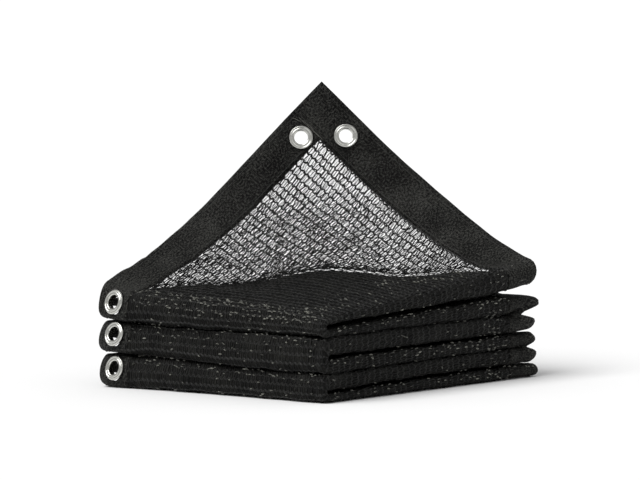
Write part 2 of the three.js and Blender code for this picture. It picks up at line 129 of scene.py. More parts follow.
SQRT2 = math.sqrt(2)
HALF_DIAGONAL = SIDE / SQRT2
FOLD_ARC = FOLD_DEPTH * math.pi / 2
HALF_WIDTH = FOLD_ARC + SIDE - FOLD_DEPTH
NET_EDGE = HALF_WIDTH - TAPE_WIDTH
OPEN_TAPE_SHARE = TAPE_WIDTH / (SIDE - FRONT_DEPTH_LEFT)
BENT_TAPE_SHARE = (TAPE_WIDTH - BACK_DEPTH) / (SIDE - BACK_DEPTH - FRONT_DEPTH_LEFT)
BACK_TURN = SIDE - BACK_DEPTH
LAST = 2 * TOP_LAYER - 1
# The solids' box is centred on the origin, which moves the pack by this much
SHIFT = np.array([-0.2595, -0.6461, 0.0])


def lerp(a, b, share):
    return a + (b - a) * share


def smooth(low, high, value):
    share = np.clip((value - low) / (high - low), 0, 1)
    return share * share * (3 - 2 * share)


def signed_power(value, power):
    return np.sign(value) * np.abs(value) ** power


def bump(value, middle, spread):
    return np.exp(-(((value - middle) / spread) ** 2))


def to_plan(p, q):
    """Places in the pack are p, from the front right side, and q, from the front left side."""
    return (q - p) / SQRT2, (p + q) / SQRT2 - HALF_DIAGONAL


def level(k, p, q):
    row = LEVELS[k]
    a = np.clip(p / SIDE, 0, 1)
    b = np.clip(q / SIDE, 0, 1)
    height = lerp(lerp(row["near"], row["left"], a), lerp(row["right"], row["far"], a), b)
    if k == TOP_LAYER:
        height = height + TOP_CROWN * 16 * a * (1 - a) * b * (1 - b)
    if k > 0:
        wave_p = np.sin(LEVEL_WAVE["over_p"] * a + LEVEL_WAVE["per_level_p"] * k)
        wave_q = np.sin(LEVEL_WAVE["over_q"] * b + LEVEL_WAVE["per_level_q"] * (k + 1))
        height = height + LEVEL_WAVE["height"] * wave_p * wave_q
    return height


def top_swell(p, q):
    x, y = to_plan(p, q)
    fade = smooth(-HALF_DIAGONAL / 2, 0, y) * smooth(0, SLIT_REACH, np.minimum(p, q))
    return fade * sum(s["height"] * bump(x, s["x"], s["spread"]) for s in TOP_SWELLS)


def clearance(k, p, q):
    if k in (0, TOP_LAYER):
        return 0 * p
    from_right = np.hypot(p, SIDE - q)
    slit = LEVELS[k]["slit"] * np.clip(1 - p / SLIT_REACH, 0, 1)
    mouth = LEVELS[k]["mouth"] * np.clip(1 - from_right / MOUTH_REACH, 0, 1)
    return LAYER_GAP + slit + mouth


def ceiling_of(k, p, q):
    return level(k, p, q) - clearance(k, p, q)


def floor_of(k, p, q):
    return level(k - 1, p, q) + clearance(k - 1, p, q)


def front_depth(p):
    return lerp(FRONT_DEPTH_NEAR, FRONT_DEPTH_LEFT, np.clip(p / SIDE, 0, 1))


def outline_power(p):
    in_tape = smooth(SIDE - BOXY_FROM, SIDE - BOXY_TO, p)
    return lerp(ROUND, BOXY, in_tape * (1 - smooth(SIDE - EDGE_ZONE, SIDE, p)))


def front_turn(bend, p):
    wave = bend["wave"] * np.sin(2 * math.pi * FOLD_WAVES * p / SIDE + bend["phase"])
    return front_depth(p) + wave * np.clip(WAVE_FADE - p / SIDE, 0, 1)


def near_right(p):
    return np.exp(-p / NOTCH_REACH)


def inner_back_turn(bend, p):
    return BACK_TURN - np.maximum(0, bend["notch"] * near_right(p) - NOTCH_SLACK)


def layer_faces(index, v, p):
    """q and z of the first ply, then of the second, at v from a layer's back end to its front."""
    k = TOP_LAYER - index
    neighbours = BENDS[max(0, index - 1) : index + 1]
    front_bend = [bend for bend in neighbours if bend["front"]][0]
    back_bends = [bend for bend in neighbours if not bend["front"]]
    q_front = front_turn(front_bend, p)
    outer = lerp(BACK_TURN if back_bends else SIDE, q_front, v)
    inner = outer
    if back_bends:
        seam = lerp(BACK_TURN, q_front, BENT_TAPE_SHARE)
        drawn = lerp(inner_back_turn(back_bends[0], p), seam, v / BENT_TAPE_SHARE)
        inner = np.where(v < BENT_TAPE_SHARE, drawn, outer)
    if index % 2 == 0:
        swell = top_swell(p, inner) if index == 0 else 0
        first, second = ceiling_of(k, p, inner) + swell, floor_of(k, p, outer)
    else:
        first, second = floor_of(k, p, inner), ceiling_of(k, p, outer)
    return np.stack([inner, first, outer, second], -1)


def bend_faces(index, turn, p):
    """The same in a bend, at turn from its upper layer (0) to its lower one (1)."""
    bend = BENDS[index]
    k = TOP_LAYER - index - 1
    angle = math.pi * turn
    front = bend["front"]
    q = front_turn(bend, p) if front else BACK_TURN + 0 * p
    power = outline_power(p) if front else ROUND
    out = signed_power(np.sin(angle), power)
    up = signed_power(np.cos(angle), power)
    middle = level(k, p, q)
    rise = np.where(up > 0, ceiling_of(k + 1, p, q) - middle, middle - floor_of(k, p, q))
    if front:
        gap = clearance(k, p, q)
        lean = lerp(FRONT_LEAN_NEAR, FRONT_LEAN_LEFT, np.clip(p / SIDE, 0, 1))
        first_q = q - front_depth(p) * out + lean * out * up
        second_q = q - gap * np.sin(angle)
        return np.stack([first_q, middle + rise * up, second_q, middle + gap * np.cos(angle)], -1)
    notch = bend["notch"] * bump(angle, math.pi / 2, NOTCH_SPREAD) * np.sin(angle)
    reach = np.where(up > 0, bend["upper_tip"], bend["lower_tip"])
    # Each lobe is a blunt half ellipse, from the notch to the shoulder
    tip = reach * (4 * np.abs(up) * (1 - np.abs(up))) ** TIP_ROUND
    inner = inner_back_turn(bend, p)
    gap = clearance(k, p, inner)
    first_z = level(k, p, inner) + gap * np.cos(angle)
    second_q = q + BACK_DEPTH * out + (tip - notch) * near_right(p)
    return np.stack([inner + gap * np.sin(angle), first_z, second_q, middle + rise * up], -1)


def faces_at(u, p):
    faces = np.zeros(u.shape + (4,))
    step = np.minimum(LAST - 1, np.floor(u)).astype(int)
    for s in np.unique(step):
        here = step == s
        part = u[here] - s
        index = s // 2
        if s % 2:
            faces[here] = bend_faces(index, part, p[here])
        else:
            faces[here] = layer_faces(index, part if index % 2 == 0 else 1 - part, p[here])
    return faces


# How far the raised cloth has moved back and up, by its flat distance beyond the diagonal
CURL_AT = np.arange(CURL_FROM[0], 2 * HALF_DIAGONAL, 1.0)
CURL_ANGLE = np.radians(np.interp(CURL_AT + 0.5, CURL_FROM, CURL_TILT))
CURL_BACK = CURL_FROM[0] + np.concatenate([[0], np.cumsum(np.cos(CURL_ANGLE))[:-1]])
CURL_UP = np.concatenate([[0], np.cumsum(np.sin(CURL_ANGLE))[:-1]])


def lift_corner(point, p, q, share):
    """Raises the places of the top ply that lie beyond the diagonal of the pack."""
    x, y = to_plan(p, q)
    share = np.where(y > CURL_FROM[0], np.clip(share, 0, 1), 0)
    back = np.interp(y, CURL_AT, CURL_BACK)
    up = np.interp(y, CURL_AT, CURL_UP)
    from_middle = x / SQRT2
    diagonal_p, diagonal_q = SIDE / 2 - from_middle, SIDE / 2 + from_middle
    swell = top_swell(diagonal_p, diagonal_q) * np.exp(-up / SWELL_HEIGHT)
    on_diagonal = level(TOP_LAYER, diagonal_p, diagonal_q) + swell
    ground = lerp(point[..., 2], on_diagonal, smooth(CURL_FROM[0], CURL_BLEND, y))
    hem = 0
    for row in HEM_SWELLS:
        near = smooth(0, HEM_REACH, row["side"] * x)
        hem = hem + row["height"] * bump(y, row["distance"], row["spread"]) * near
    point[..., 0] += share * RAISED_LEAN * up / PEAK_RISE
    point[..., 1] += share * (back - y)
    point[..., 2] = lerp(point[..., 2], ground + up + hem, share)
    return point


def cloth_point(u, t):
    """The outer face of the folded cloth, at u along its course and t across its flat width."""
    u, t = np.broadcast_arrays(np.asarray(u, float), np.asarray(t, float))
    arc = np.abs(t) < FOLD_ARC
    first_ply = t < 0
    angle = (t / FOLD_ARC + 1) * math.pi / 2
    rough = faces_at(u, np.full(u.shape, FOLD_DEPTH))
    to_right = smooth(SIDE - FOLD_WIDENS_OVER, SIDE, np.maximum(rough[..., 0], rough[..., 2]))
    depth = lerp(FOLD_DEPTH, FOLD_DEPTH_RIGHT, to_right)
    along = (np.abs(t) - FOLD_ARC) / (SIDE - FOLD_DEPTH)
    p = np.where(arc, depth, depth + along * (SIDE - depth))
    faces = faces_at(u, p)
    share = np.where(arc, (1 + np.cos(angle)) / 2, np.where(first_ply, 1.0, 0.0))
    q = lerp(faces[..., 2], faces[..., 0], share)
    z = lerp(faces[..., 3], faces[..., 1], share)
    p = np.where(arc, depth * (1 - np.sin(angle)), p)
    x, y = to_plan(p, q)
    turning = np.where(u < 1, 1, np.clip(np.cos(math.pi * np.clip(u - 1, 0, 1)), 0, 1))
    return lift_corner(np.stack([x, y, z], -1), p, q, share * turning) + SHIFT


def cloth_normal(u, t):
    du, dt = 0.004, 0.4
    along_u = cloth_point(np.minimum(LAST, u + du), t) - cloth_point(np.maximum(0, u - du), t)
    low, high = np.maximum(-HALF_WIDTH, t - dt), np.minimum(HALF_WIDTH, t + dt)
    along_t = cloth_point(u, high) - cloth_point(u, low)
    normal = np.cross(along_u, along_t)
    return normal / np.maximum(np.linalg.norm(normal, axis=-1, keepdims=True), 1e-9)


# Flat lengths along the course: six layers, nearly as long as on the folds, and five bends, longer
# than on their inner ply and shorter than on their outer one
LAYER_SLACK = 3.0
LAYER_LENGTH = SIDE - BACK_DEPTH - FRONT_DEPTH_LEFT + LAYER_SLACK
BEND_LENGTH = 36.0
STEP_LENGTHS = [BEND_LENGTH if step % 2 else LAYER_LENGTH for step in range(LAST)]
STEP_STARTS = np.concatenate([[0], np.cumsum(STEP_LENGTHS)])
FIRST_BEND = STEP_STARTS[1]
COURSE_END = STEP_STARTS[-1]

# What a bend's turn is at each share of its arc, by the place across the width, so that the knit
# keeps its spacing round the bend
ARC_SAMPLES = 65
ARC_COLUMNS = np.linspace(-HALF_WIDTH, HALF_WIDTH, 97)


def arc_shares(bend_index):
    turn = np.linspace(0, 1, ARC_SAMPLES)
    u, t = np.meshgrid(2 * bend_index + 1 + turn, ARC_COLUMNS, indexing="ij")
    points = cloth_point(u, t)
    length = np.linalg.norm(np.diff(points, axis=0), axis=-1).cumsum(0)
    length = np.concatenate([np.zeros((1, len(ARC_COLUMNS))), length])
    return length / length[-1]


def turns_by_share(table):
    share = np.linspace(0, 1, ARC_SAMPLES)
    return np.stack([np.interp(share, column, share) for column in table.T], 1)


ARC_SHARE = [arc_shares(index) for index in range(len(BENDS))]
TURN_AT = [turns_by_share(table) for table in ARC_SHARE]


def look_up(table, share, t):
    """Bilinear look-up in a table over shares of a bend and places across the width."""
    i = np.clip(share, 0, 1) * (ARC_SAMPLES - 1)
    j = (np.clip(t, -HALF_WIDTH, HALF_WIDTH) + HALF_WIDTH) / (2 * HALF_WIDTH)
    j = j * (len(ARC_COLUMNS) - 1)
    i0 = np.minimum(i.astype(int), ARC_SAMPLES - 2)
    j0 = np.minimum(j.astype(int), len(ARC_COLUMNS) - 2)
    a, b = i - i0, j - j0
    return (
        table[i0, j0] * (1 - a) * (1 - b)
        + table[i0 + 1, j0] * a * (1 - b)
        + table[i0, j0 + 1] * (1 - a) * b
        + table[i0 + 1, j0 + 1] * a * b
    )


def course_at(s, t):
    """u of the place at the flat length s."""
    s, t = np.broadcast_arrays(np.asarray(s, float), np.asarray(t, float))
    step = np.clip(np.searchsorted(STEP_STARTS, s, side="right") - 1, 0, LAST - 1)
    share = (s - STEP_STARTS[step]) / np.array(STEP_LENGTHS)[step]
    u = step + share
    for index in range(len(BENDS)):
        here = step == 2 * index + 1
        u[here] = 2 * index + 1 + look_up(TURN_AT[index], share[here], t[here])
    return u


def flat_length(u, t):
    """The flat length s of the place at u."""
    step = np.clip(np.floor(u).astype(int), 0, LAST - 1)
    share = u - step
    for index in range(len(BENDS)):
        here = step == 2 * index + 1
        share[here] = look_up(ARC_SHARE[index], share[here], t[here])
    return STEP_STARTS[step] + share * np.array(STEP_LENGTHS)[step]


# On the flat first ply the pack's diagonal runs where -t is s and this much
DIAGONAL_OFFSET = 4.0


def beyond_diagonal(s, t):
    """How far a flat place lies beyond the diagonal, on which the corner is turned up."""
    return (-t - DIAGONAL_OFFSET - s) / SQRT2


def linear(colour):
    """An sRGB hex colour as linear red, green, blue and alpha."""
    channels = [int(colour[i : i + 2], 16) / 255 for i in (1, 3, 5)]
    return [c / 12.92 if c <= 0.04045 else ((c + 0.055) / 1.055) ** 2.4 for c in channels] + [1]


def add_node(tree, kind, inputs=None, **settings):
    """Adds a node with its settings, and sets or links its inputs."""
    node = tree.nodes.new(kind)
    for name, value in settings.items():
        setattr(node, name, value)
    for key, value in (inputs or {}).items():
        if isinstance(value, bpy.types.NodeSocket):
            tree.links.new(value, node.inputs[key])
        else:
            node.inputs[key].default_value = value
    return node


# Where a colour mix node keeps its colours and its result
MIX_A, MIX_B, MIX_RESULT = 6, 7, 2


def start_material(name):
    material = bpy.data.materials.new(name)
    material.use_nodes = True
    tree = material.node_tree
    return material, tree, tree.nodes["Principled BSDF"]


def colour_by(tree, surface, value, low, high, dark, light):
    """Colours a surface from dark to light as a value goes from low to high."""
    spread = {"Value": value, "From Min": low, "From Max": high}
    share = add_node(tree, "ShaderNodeMapRange", spread)
    colours = {0: share.outputs[0], MIX_A: linear(dark), MIX_B: linear(light)}
    tone = add_node(tree, "ShaderNodeMix", colours, data_type="RGBA")
    tree.links.new(tone.outputs[MIX_RESULT], surface.inputs["Base Color"])


# The knit: chains of stitches run across the cloth's width and inlay yarns zigzag between them
WALE_SPACING = 7.15
STITCH_LENGTH = 5.45
WALE_START = TAPE_WIDTH + 1.6
WALE_SWAY = 1.15


def polyethylene_yarn(name, dark, light, roughness, gloss):
    """Polyethylene yarn, dyed in the melt: waxy, so its ridges glint and its sides stay black."""
    material, tree, surface = start_material(name)
    place_on = add_node(tree, "ShaderNodeTexCoord").outputs["Object"]
    # Fibres are 0.3 mm apart and drawn at 1.1 mm, so that they show
    patches, fibres = (
        add_node(tree, "ShaderNodeTexNoise", {"Vector": place_on, "Scale": scale, "Detail": 3.0})
        for scale in (1 / (16 * MM), 1 / (1.1 * MM))
    )
    both = {0: patches.outputs[0], 1: fibres.outputs[0]}
    mixed = add_node(tree, "ShaderNodeMath", both, operation="MULTIPLY")
    colour_by(tree, surface, mixed.outputs[0], 0.16, 0.36, dark, light)
    rough = add_node(
        tree,
        "ShaderNodeMapRange",
        {
            "Value": fibres.outputs[0],
            "From Min": 0.3,
            "From Max": 0.7,
            "To Min": roughness - 0.12,
            "To Max": roughness + 0.12,
        },
    )
    tree.links.new(rough.outputs[0], surface.inputs["Roughness"])
    relief = add_node(
        tree, "ShaderNodeBump", {"Height": fibres.outputs[0], "Strength": 0.6, "Distance": 0.3 * MM}
    )
    tree.links.new(relief.outputs["Normal"], surface.inputs["Normal"])
    surface.inputs["Specular IOR Level"].default_value = gloss
    return material


def flat_cloth_in_mm(tree):
    """The place on the flat cloth: along its course and across its width."""
    flat = add_node(tree, "ShaderNodeUVMap", uv_map="flat_cloth").outputs["UV"]
    in_mm = add_node(
        tree, "ShaderNodeVectorMath", {0: flat, "Scale": 1 / MM}, operation="SCALE"
    )
    parts = add_node(tree, "ShaderNodeSeparateXYZ", {"Vector": in_mm.outputs[0]})
    return in_mm.outputs[0], parts.outputs["X"], parts.outputs["Y"]


def knit_ground():
    """The knit under its top yarns: the same wales and inlay, matt, in shade and lightly specked."""
    material, tree, surface = start_material("knitted polyethylene ground")
    flat, along, across = flat_cloth_in_mm(tree)
    wale_turn = add_node(
        tree,
        "ShaderNodeMath",
        {0: along, 1: 2 * math.pi / WALE_SPACING, 2: -2 * math.pi * WALE_START / WALE_SPACING},
        operation="MULTIPLY_ADD",
    )
    stitch_turn = add_node(
        tree, "ShaderNodeMath", {0: across, 1: 2 * math.pi / STITCH_LENGTH}, operation="MULTIPLY"
    )
    wale = add_node(tree, "ShaderNodeMath", {0: wale_turn.outputs[0]}, operation="COSINE")
    bars = {0: stitch_turn.outputs[0], 1: 2.0, 2: wale.outputs[0]}
    bar_turn = add_node(tree, "ShaderNodeMath", bars, operation="MULTIPLY_ADD")
    bar = add_node(tree, "ShaderNodeMath", {0: bar_turn.outputs[0]}, operation="SINE")
    ridges = {0: wale.outputs[0], 1: bar.outputs[0], 2: 0.5}
    height = add_node(tree, "ShaderNodeMath", ridges, operation="SMOOTH_MAX")
    specks, clouds = (
        add_node(tree, "ShaderNodeTexNoise", {"Vector": flat, "Scale": 1 / size, "Detail": detail})
        for size, detail in ((1.9, 2.0), (26, 3.0))
    )
    both = {0: specks.outputs[0], 1: clouds.outputs[0]}
    mixed = add_node(tree, "ShaderNodeMath", both, operation="MULTIPLY")
    colour_by(tree, surface, mixed.outputs[0], 0.2, 0.42, "#0c0c0b", "#272724")
    relief = add_node(
        tree, "ShaderNodeBump", {"Height": height.outputs[0], "Strength": 0.6, "Distance": 0.5 * MM}
    )
    tree.links.new(relief.outputs["Normal"], surface.inputs["Normal"])
    surface.inputs["Roughness"].default_value = 0.6
    surface.inputs["Specular IOR Level"].default_value = 0.14
    return material


# Yarns of the tape are 0.9 mm apart and drawn at twice that, so that they show
TAPE_YARN_SPACING = 1.9


def woven_polypropylene():
    """Woven polypropylene tape: flat yarns crossing on the bias, dull, with dust in the weave."""
    material, tree, surface = start_material("woven polypropylene tape")
    flat, along, across = flat_cloth_in_mm(tree)
    wobble, dust, clouds = (
        add_node(tree, "ShaderNodeTexNoise", {"Vector": flat, "Scale": 1 / size, "Detail": detail})
        for size, detail in ((9, 2.0), (1.6, 3.0), (34, 3.0))
    )
    turn = 2 * math.pi / TAPE_YARN_SPACING
    wander = {0: wobble.outputs[0], 1: 7.0}
    shift = add_node(tree, "ShaderNodeMath", wander, operation="MULTIPLY")
    waves = []
    for way in ("ADD", "SUBTRACT"):
        bias = add_node(tree, "ShaderNodeMath", {0: along, 1: across}, operation=way)
        turns = {0: bias.outputs[0], 1: turn / SQRT2, 2: shift.outputs[0]}
        moved = add_node(tree, "ShaderNodeMath", turns, operation="MULTIPLY_ADD")
        waves.append(add_node(tree, "ShaderNodeMath", {0: moved.outputs[0]}, operation="SINE"))
    crossing = {0: waves[0].outputs[0], 1: waves[1].outputs[0]}
    weave = add_node(tree, "ShaderNodeMath", crossing, operation="MULTIPLY")
    dusty = {0: weave.outputs[0], 1: 0.09, 2: dust.outputs[0]}
    grain = add_node(tree, "ShaderNodeMath", dusty, operation="MULTIPLY_ADD")
    cloudy = {0: clouds.outputs[0], 1: 0.3, 2: grain.outputs[0]}
    mixed = add_node(tree, "ShaderNodeMath", cloudy, operation="MULTIPLY_ADD")
    colour_by(tree, surface, mixed.outputs[0], 0.58, 0.86, "#000000", "#434340")
    relief = add_node(
        tree, "ShaderNodeBump", {"Height": grain.outputs[0], "Strength": 0.8, "Distance": 0.6 * MM}
    )
    tree.links.new(relief.outputs["Normal"], surface.inputs["Normal"])
    surface.inputs["Roughness"].default_value = 0.7
    surface.inputs["Specular IOR Level"].default_value = 0.1
    return material


def polished_aluminium():
    """Pressed aluminium, tumbled: a bright, slightly blurred mirror with faint marks in it."""
    material, tree, surface = start_material("polished aluminium")
    place_on = add_node(tree, "ShaderNodeTexCoord").outputs["Object"]
    marks = add_node(
        tree, "ShaderNodeTexNoise", {"Vector": place_on, "Scale": 1 / (1.6 * MM), "Detail": 5.0}
    )
    colour_by(tree, surface, marks.outputs[0], 0, 1, "#a9a9a3", "#e3e3de")
    rough = add_node(
        tree, "ShaderNodeMapRange", {"Value": marks.outputs[0], "To Min": 0.12, "To Max": 0.34}
    )
    tree.links.new(rough.outputs[0], surface.inputs["Roughness"])
    relief = add_node(
        tree, "ShaderNodeBump", {"Height": marks.outputs[0], "Strength": 0.2, "Distance": 0.1 * MM}
    )
    tree.links.new(relief.outputs["Normal"], surface.inputs["Normal"])
    surface.inputs["Metallic"].default_value = 1.0
    return material


def polyester_thread(name, dark, light):
    """Bonded polyester thread: smooth, lighter at random along it; a pale range is partly fraying
    and partly painted highlight.
    """
    material, tree, surface = start_material(name)
    place_on = add_node(tree, "ShaderNodeTexCoord").outputs["Object"]
    twist = add_node(tree, "ShaderNodeTexNoise", {"Vector": place_on, "Scale": 1 / MM})
    colour_by(tree, surface, twist.outputs[0], 0, 1, dark, light)
    surface.inputs["Roughness"].default_value = 0.5
    return material


WALE_YARN = polyethylene_yarn("polyethylene wale yarn", "#080807", "#1e1e1c", 0.34, 0.25)
INLAY_YARN = polyethylene_yarn("polyethylene inlay yarn", "#060606", "#181816", 0.45, 0.15)
# The loops that stand out are coloured pale: painted glints, for where the light catches them
GLINT_PAINTED_YARN = polyethylene_yarn("polyethylene loops with painted glints", "#262623", "#88887f", 0.3, 0.5)
GROUND = knit_ground()
TAPE_CLOTH = woven_polypropylene()
METAL = polished_aluminium()
THREAD = polyester_thread("bonded polyester thread", "#111110", "#2e2e2b")
# The frayed thread's pale colour is partly real fraying and partly painted highlight, where it
# catches the light
FRAYED_AND_GLINT_PAINTED_THREAD = polyester_thread("frayed polyester thread with painted highlights", "#3a3a36", "#8c8c84")


def show(bm, name, material, replaced=()):
    """Makes the object of a bmesh, with its material, body, slot and the nodes it stands for."""
    mesh = bpy.data.meshes.new(name)
    bm.to_mesh(mesh)
    bm.free()
    mesh.shade_smooth()
    mesh.materials.append(material)
    piece = bpy.data.objects.new(name, mesh)
    bpy.context.scene.collection.objects.link(piece)
    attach(piece, "root")
    if replaced:
        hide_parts(*replaced)
    return piece


# Soft unevenness of the cloth, in mm: long swells by their length, width and height
SWELL_LENGTHS = [(61, 47, 0.45), (29, 38, 0.3), (17, 13, 0.16)]
# The swells are lowered by this much and cut off at the cloth's outer face
SWELLS_LOWERED = 0.45
# Short creases by their two ends on the flat cloth, their half width and their depth
CREASES = [
    ((217, -284), (188, -247), 3.4, 1.5),
    ((34, -58), (6, -8), 3.4, 1.5),
    ((236, -284), (214, -262), 5.0, 0.9),
]


def unevenness(s, t):
    rise = sum(
        height * np.sin(2 * math.pi * s / length + 1.7 * k) * np.sin(2 * math.pi * t / width + k)
        for k, (length, width, height) in enumerate(SWELL_LENGTHS)
    )
    for start, end, half_width, depth in CREASES:
        start, way = np.array(start), np.array(end) - np.array(start)
        offset = np.stack([s, t], -1) - start
        share = np.clip(offset @ way / (way @ way), 0, 1)
        off = np.linalg.norm(offset - share[..., None] * way, axis=-1)
        rise = rise - depth * bump(off, 0, half_width)
    return rise


# How far the yarns of the lengthwise fold reach onto the first ply, where the others begin
ROUND_FOLD = 16.0

# The knit puffs out along the fold and fills the grooves between layers: most where two layers meet
# with their first ply, less where they meet with their second one
FLUFF_MIDDLE = 7.5
FLUFF_REACH = 4.0
FIRST_PLY_FLUFF = 1.9
SECOND_PLY_FLUFF = 1.2
TOP_GROOVE_FLUFF = 0.3
# It also puffs out where one front fold lies on the next
FRONT_FLUFF = 1.3
FRONT_FLUFF_REACH = 5.0
# There it fades out towards the edge tape
FRONT_FLUFF_FADE = (NET_EDGE - 20, NET_EDGE - 4)
BEFORE_GROOVE, AFTER_GROOVE = 4, 2
FRONT_GROOVE_SIDES = [
    side
    for bend in (1, 5)
    for side in (STEP_STARTS[bend + 1] - BEFORE_GROOVE, STEP_STARTS[bend + 4] + AFTER_GROOVE)
]


def fluff(s, t):
    after_top = smooth(STEP_STARTS[1], STEP_STARTS[2], s)
    before_last = 1 - smooth(STEP_STARTS[9], STEP_STARTS[10], s)
    below_groove = smooth(STEP_STARTS[3], STEP_STARTS[4], s)
    first = FIRST_PLY_FLUFF * after_top * before_last
    second = lerp(TOP_GROOVE_FLUFF, SECOND_PLY_FLUFF, below_groove)
    side = np.where(t < 0, first, second) * bump(np.abs(t), FLUFF_MIDDLE, FLUFF_REACH)
    first_ply = smooth(ROUND_FOLD, 2 * ROUND_FOLD, -t) * (1 - smooth(*FRONT_FLUFF_FADE, -t))
    front = sum(bump(s, middle, FRONT_FLUFF_REACH) for middle in FRONT_GROOVE_SIDES)
    return side + FRONT_FLUFF * first_ply * front


def place(s, t, lift):
    """Places on the flat cloth moved into the folds, lifted off the cloth's outer face."""
    u = course_at(s, t)
    lift = np.asarray(lift) + np.minimum(0, unevenness(s, t) - SWELLS_LOWERED) + fluff(s, t)
    return cloth_point(u, t) + cloth_normal(u, t) * lift[..., None]


def even_stops(low, high, cell):
    return np.linspace(low, high, max(2, round((high - low) / cell) + 1))


FINE_CELL = 2.6
COARSE_CELL = 6.5
BEND_MARGIN = 9.0


def course_stops(low, high, fine_until=0.0, bend_cell=FINE_CELL):
    """Stops along the course: fine round the bends and up to fine_until, coarse in the layers."""
    marks = [low]
    for start, length in zip(STEP_STARTS[1::2], STEP_LENGTHS[1::2]):
        marks += [start - BEND_MARGIN, start + length + BEND_MARGIN]
    marks = [mark for mark in marks if low <= mark < high] + [high]
    stops = []
    for a, b in zip(marks, marks[1:]):
        middle = (a + b) / 2
        in_bend = any(
            start - BEND_MARGIN <= middle <= start + length + BEND_MARGIN
            for start, length in zip(STEP_STARTS[1::2], STEP_LENGTHS[1::2])
        )
        layer_cell = FINE_CELL if b <= fine_until else COARSE_CELL
        stops.append(even_stops(a, b, bend_cell if in_bend else layer_cell))
    return np.unique(np.concatenate(stops))


NET_SEAM = NET_EDGE - SEAM / 2
TAPE_SEAM = NET_EDGE + 0.02
# The yarns end this far inside the tapes
TUCKED_IN = 1.5


def net_width(cell):
    ply = even_stops(FOLD_ARC, NET_SEAM, cell)
    return np.unique(np.concatenate([-ply, even_stops(-FOLD_ARC, FOLD_ARC, FINE_CELL), ply]))


def edge_width():
    return even_stops(TAPE_SEAM, HALF_WIDTH, FINE_CELL)


def full_width(cell):
    return np.unique(np.concatenate([-edge_width(), net_width(cell), edge_width()]))


def cloth_sheet(name, course, width, lift, thickness, material, node, cut=None):
    """A stretch of the cloth: a grid in its flat size, moved into the folds, with a thickness."""
    bm = bmesh.new()
    bmesh.ops.create_grid(bm, x_segments=len(course) - 1, y_segments=len(width) - 1, size=1)
    for vert in bm.verts:
        column = (vert.co.x + 1) / 2 * (len(course) - 1)
        row = (vert.co.y + 1) / 2 * (len(width) - 1)
        vert.co = (course[round(column)], width[round(row)], 0)
    if cut:
        cut(bm)
    flat = np.array([vert.co.xy for vert in bm.verts])
    points = place(flat[:, 0], flat[:, 1], np.full(len(flat), lift)) * MM
    bm.verts.index_update()
    layer = bm.loops.layers.uv.new("flat_cloth")
    for face in bm.faces:
        for loop in face.loops:
            loop[layer].uv = flat[loop.vert.index] * MM
    for vert, point in zip(bm.verts, points):
        vert.co = point
    piece = show(bm, name, material, [node])
    wall = piece.modifiers.new("thickness", "SOLIDIFY")
    wall.thickness = thickness * MM
    wall.offset = -1
    return piece


def layer_stop(index, share):
    """The flat length at a share of a layer from its back end."""
    return STEP_STARTS[2 * index] + LAYER_LENGTH * (share if index % 2 == 0 else 1 - share)


def tape_share(index):
    return OPEN_TAPE_SHARE if index in (0, TOP_LAYER - 1) else BENT_TAPE_SHARE


SEAM_SHARE = 0.04 / (2 * SIDE)
# Only yarns are left beyond this line on the flat top ply: two places by how far along the
# diagonal they lie from its right end, and how far beyond it
SEE_THROUGH_LINE = [(60, -25), (330, -6)]


def from_diagonal(along, beyond):
    return Vector(((along - beyond) / SQRT2, -DIAGONAL_OFFSET - (along + beyond) / SQRT2, 0))


def cut_raised_corner(bm):
    """Takes the raised corner off the flat ground, since only its yarns are there."""
    right, left = (from_diagonal(*place_on) for place_on in SEE_THROUGH_LINE)
    top = [face for face in bm.faces if all(vert.co.y < -ROUND_FOLD for vert in face.verts)]
    parts = {part for face in top for part in (*face.verts, *face.edges)}
    bmesh.ops.bisect_plane(
        bm,
        geom=top + list(parts),
        plane_co=right,
        plane_no=(left - right).cross(Vector((0, 0, 1))),
        clear_outer=True,
    )


GROUND_LIFT = -0.85
GROUND_WALL = 1.0
TOP_GROUND_CELL = 4
PANELS = ["net_panel_top", "net_panel_middle", "net_panel_bottom"]


def net_ground(row):
    upper = 2 * row
    low = layer_stop(upper, tape_share(upper) + SEAM_SHARE)
    high = layer_stop(upper + 1, tape_share(upper + 1) + SEAM_SHARE)
    return cloth_sheet(
        f"{PANELS[row]}_ground",
        course_stops(low, high, FIRST_BEND if row == 0 else 0),
        net_width(TOP_GROUND_CELL if row == 0 else COARSE_CELL),
        GROUND_LIFT,
        GROUND_WALL,
        GROUND,
        PANELS[row],
        cut_raised_corner if row == 0 else None,
    )


# Yarns are flat tubes with four sides
TUBE_SIDES = 4

# The yarns of the raised corner swell a little near its crease, and are thin in it and above it.
# Each change comes or goes over a range of distances beyond the diagonal
SWOLLEN, SWOLLEN_COMES, SWOLLEN_GOES = 0.06, (-8, 10), (10, 110)
CREASED, CREASED_COMES, RAISED_COMES = 0.38, (-34, -24), (2, 26)
RAISED = 0.2


def yarn_size(s, t):
    """How thick the yarns are at flat places of the cloth, as a share."""
    beyond = beyond_diagonal(s, t)
    near_crease = smooth(*SWOLLEN_COMES, beyond) * (1 - smooth(*SWOLLEN_GOES, beyond))
    above = smooth(*RAISED_COMES, beyond)
    in_crease = smooth(*CREASED_COMES, beyond) * (1 - above) * (t < -ROUND_FOLD)
    raised = above * (t < -ROUND_FOLD)
    return 1 + SWOLLEN * near_crease - CREASED * in_crease - RAISED * raised


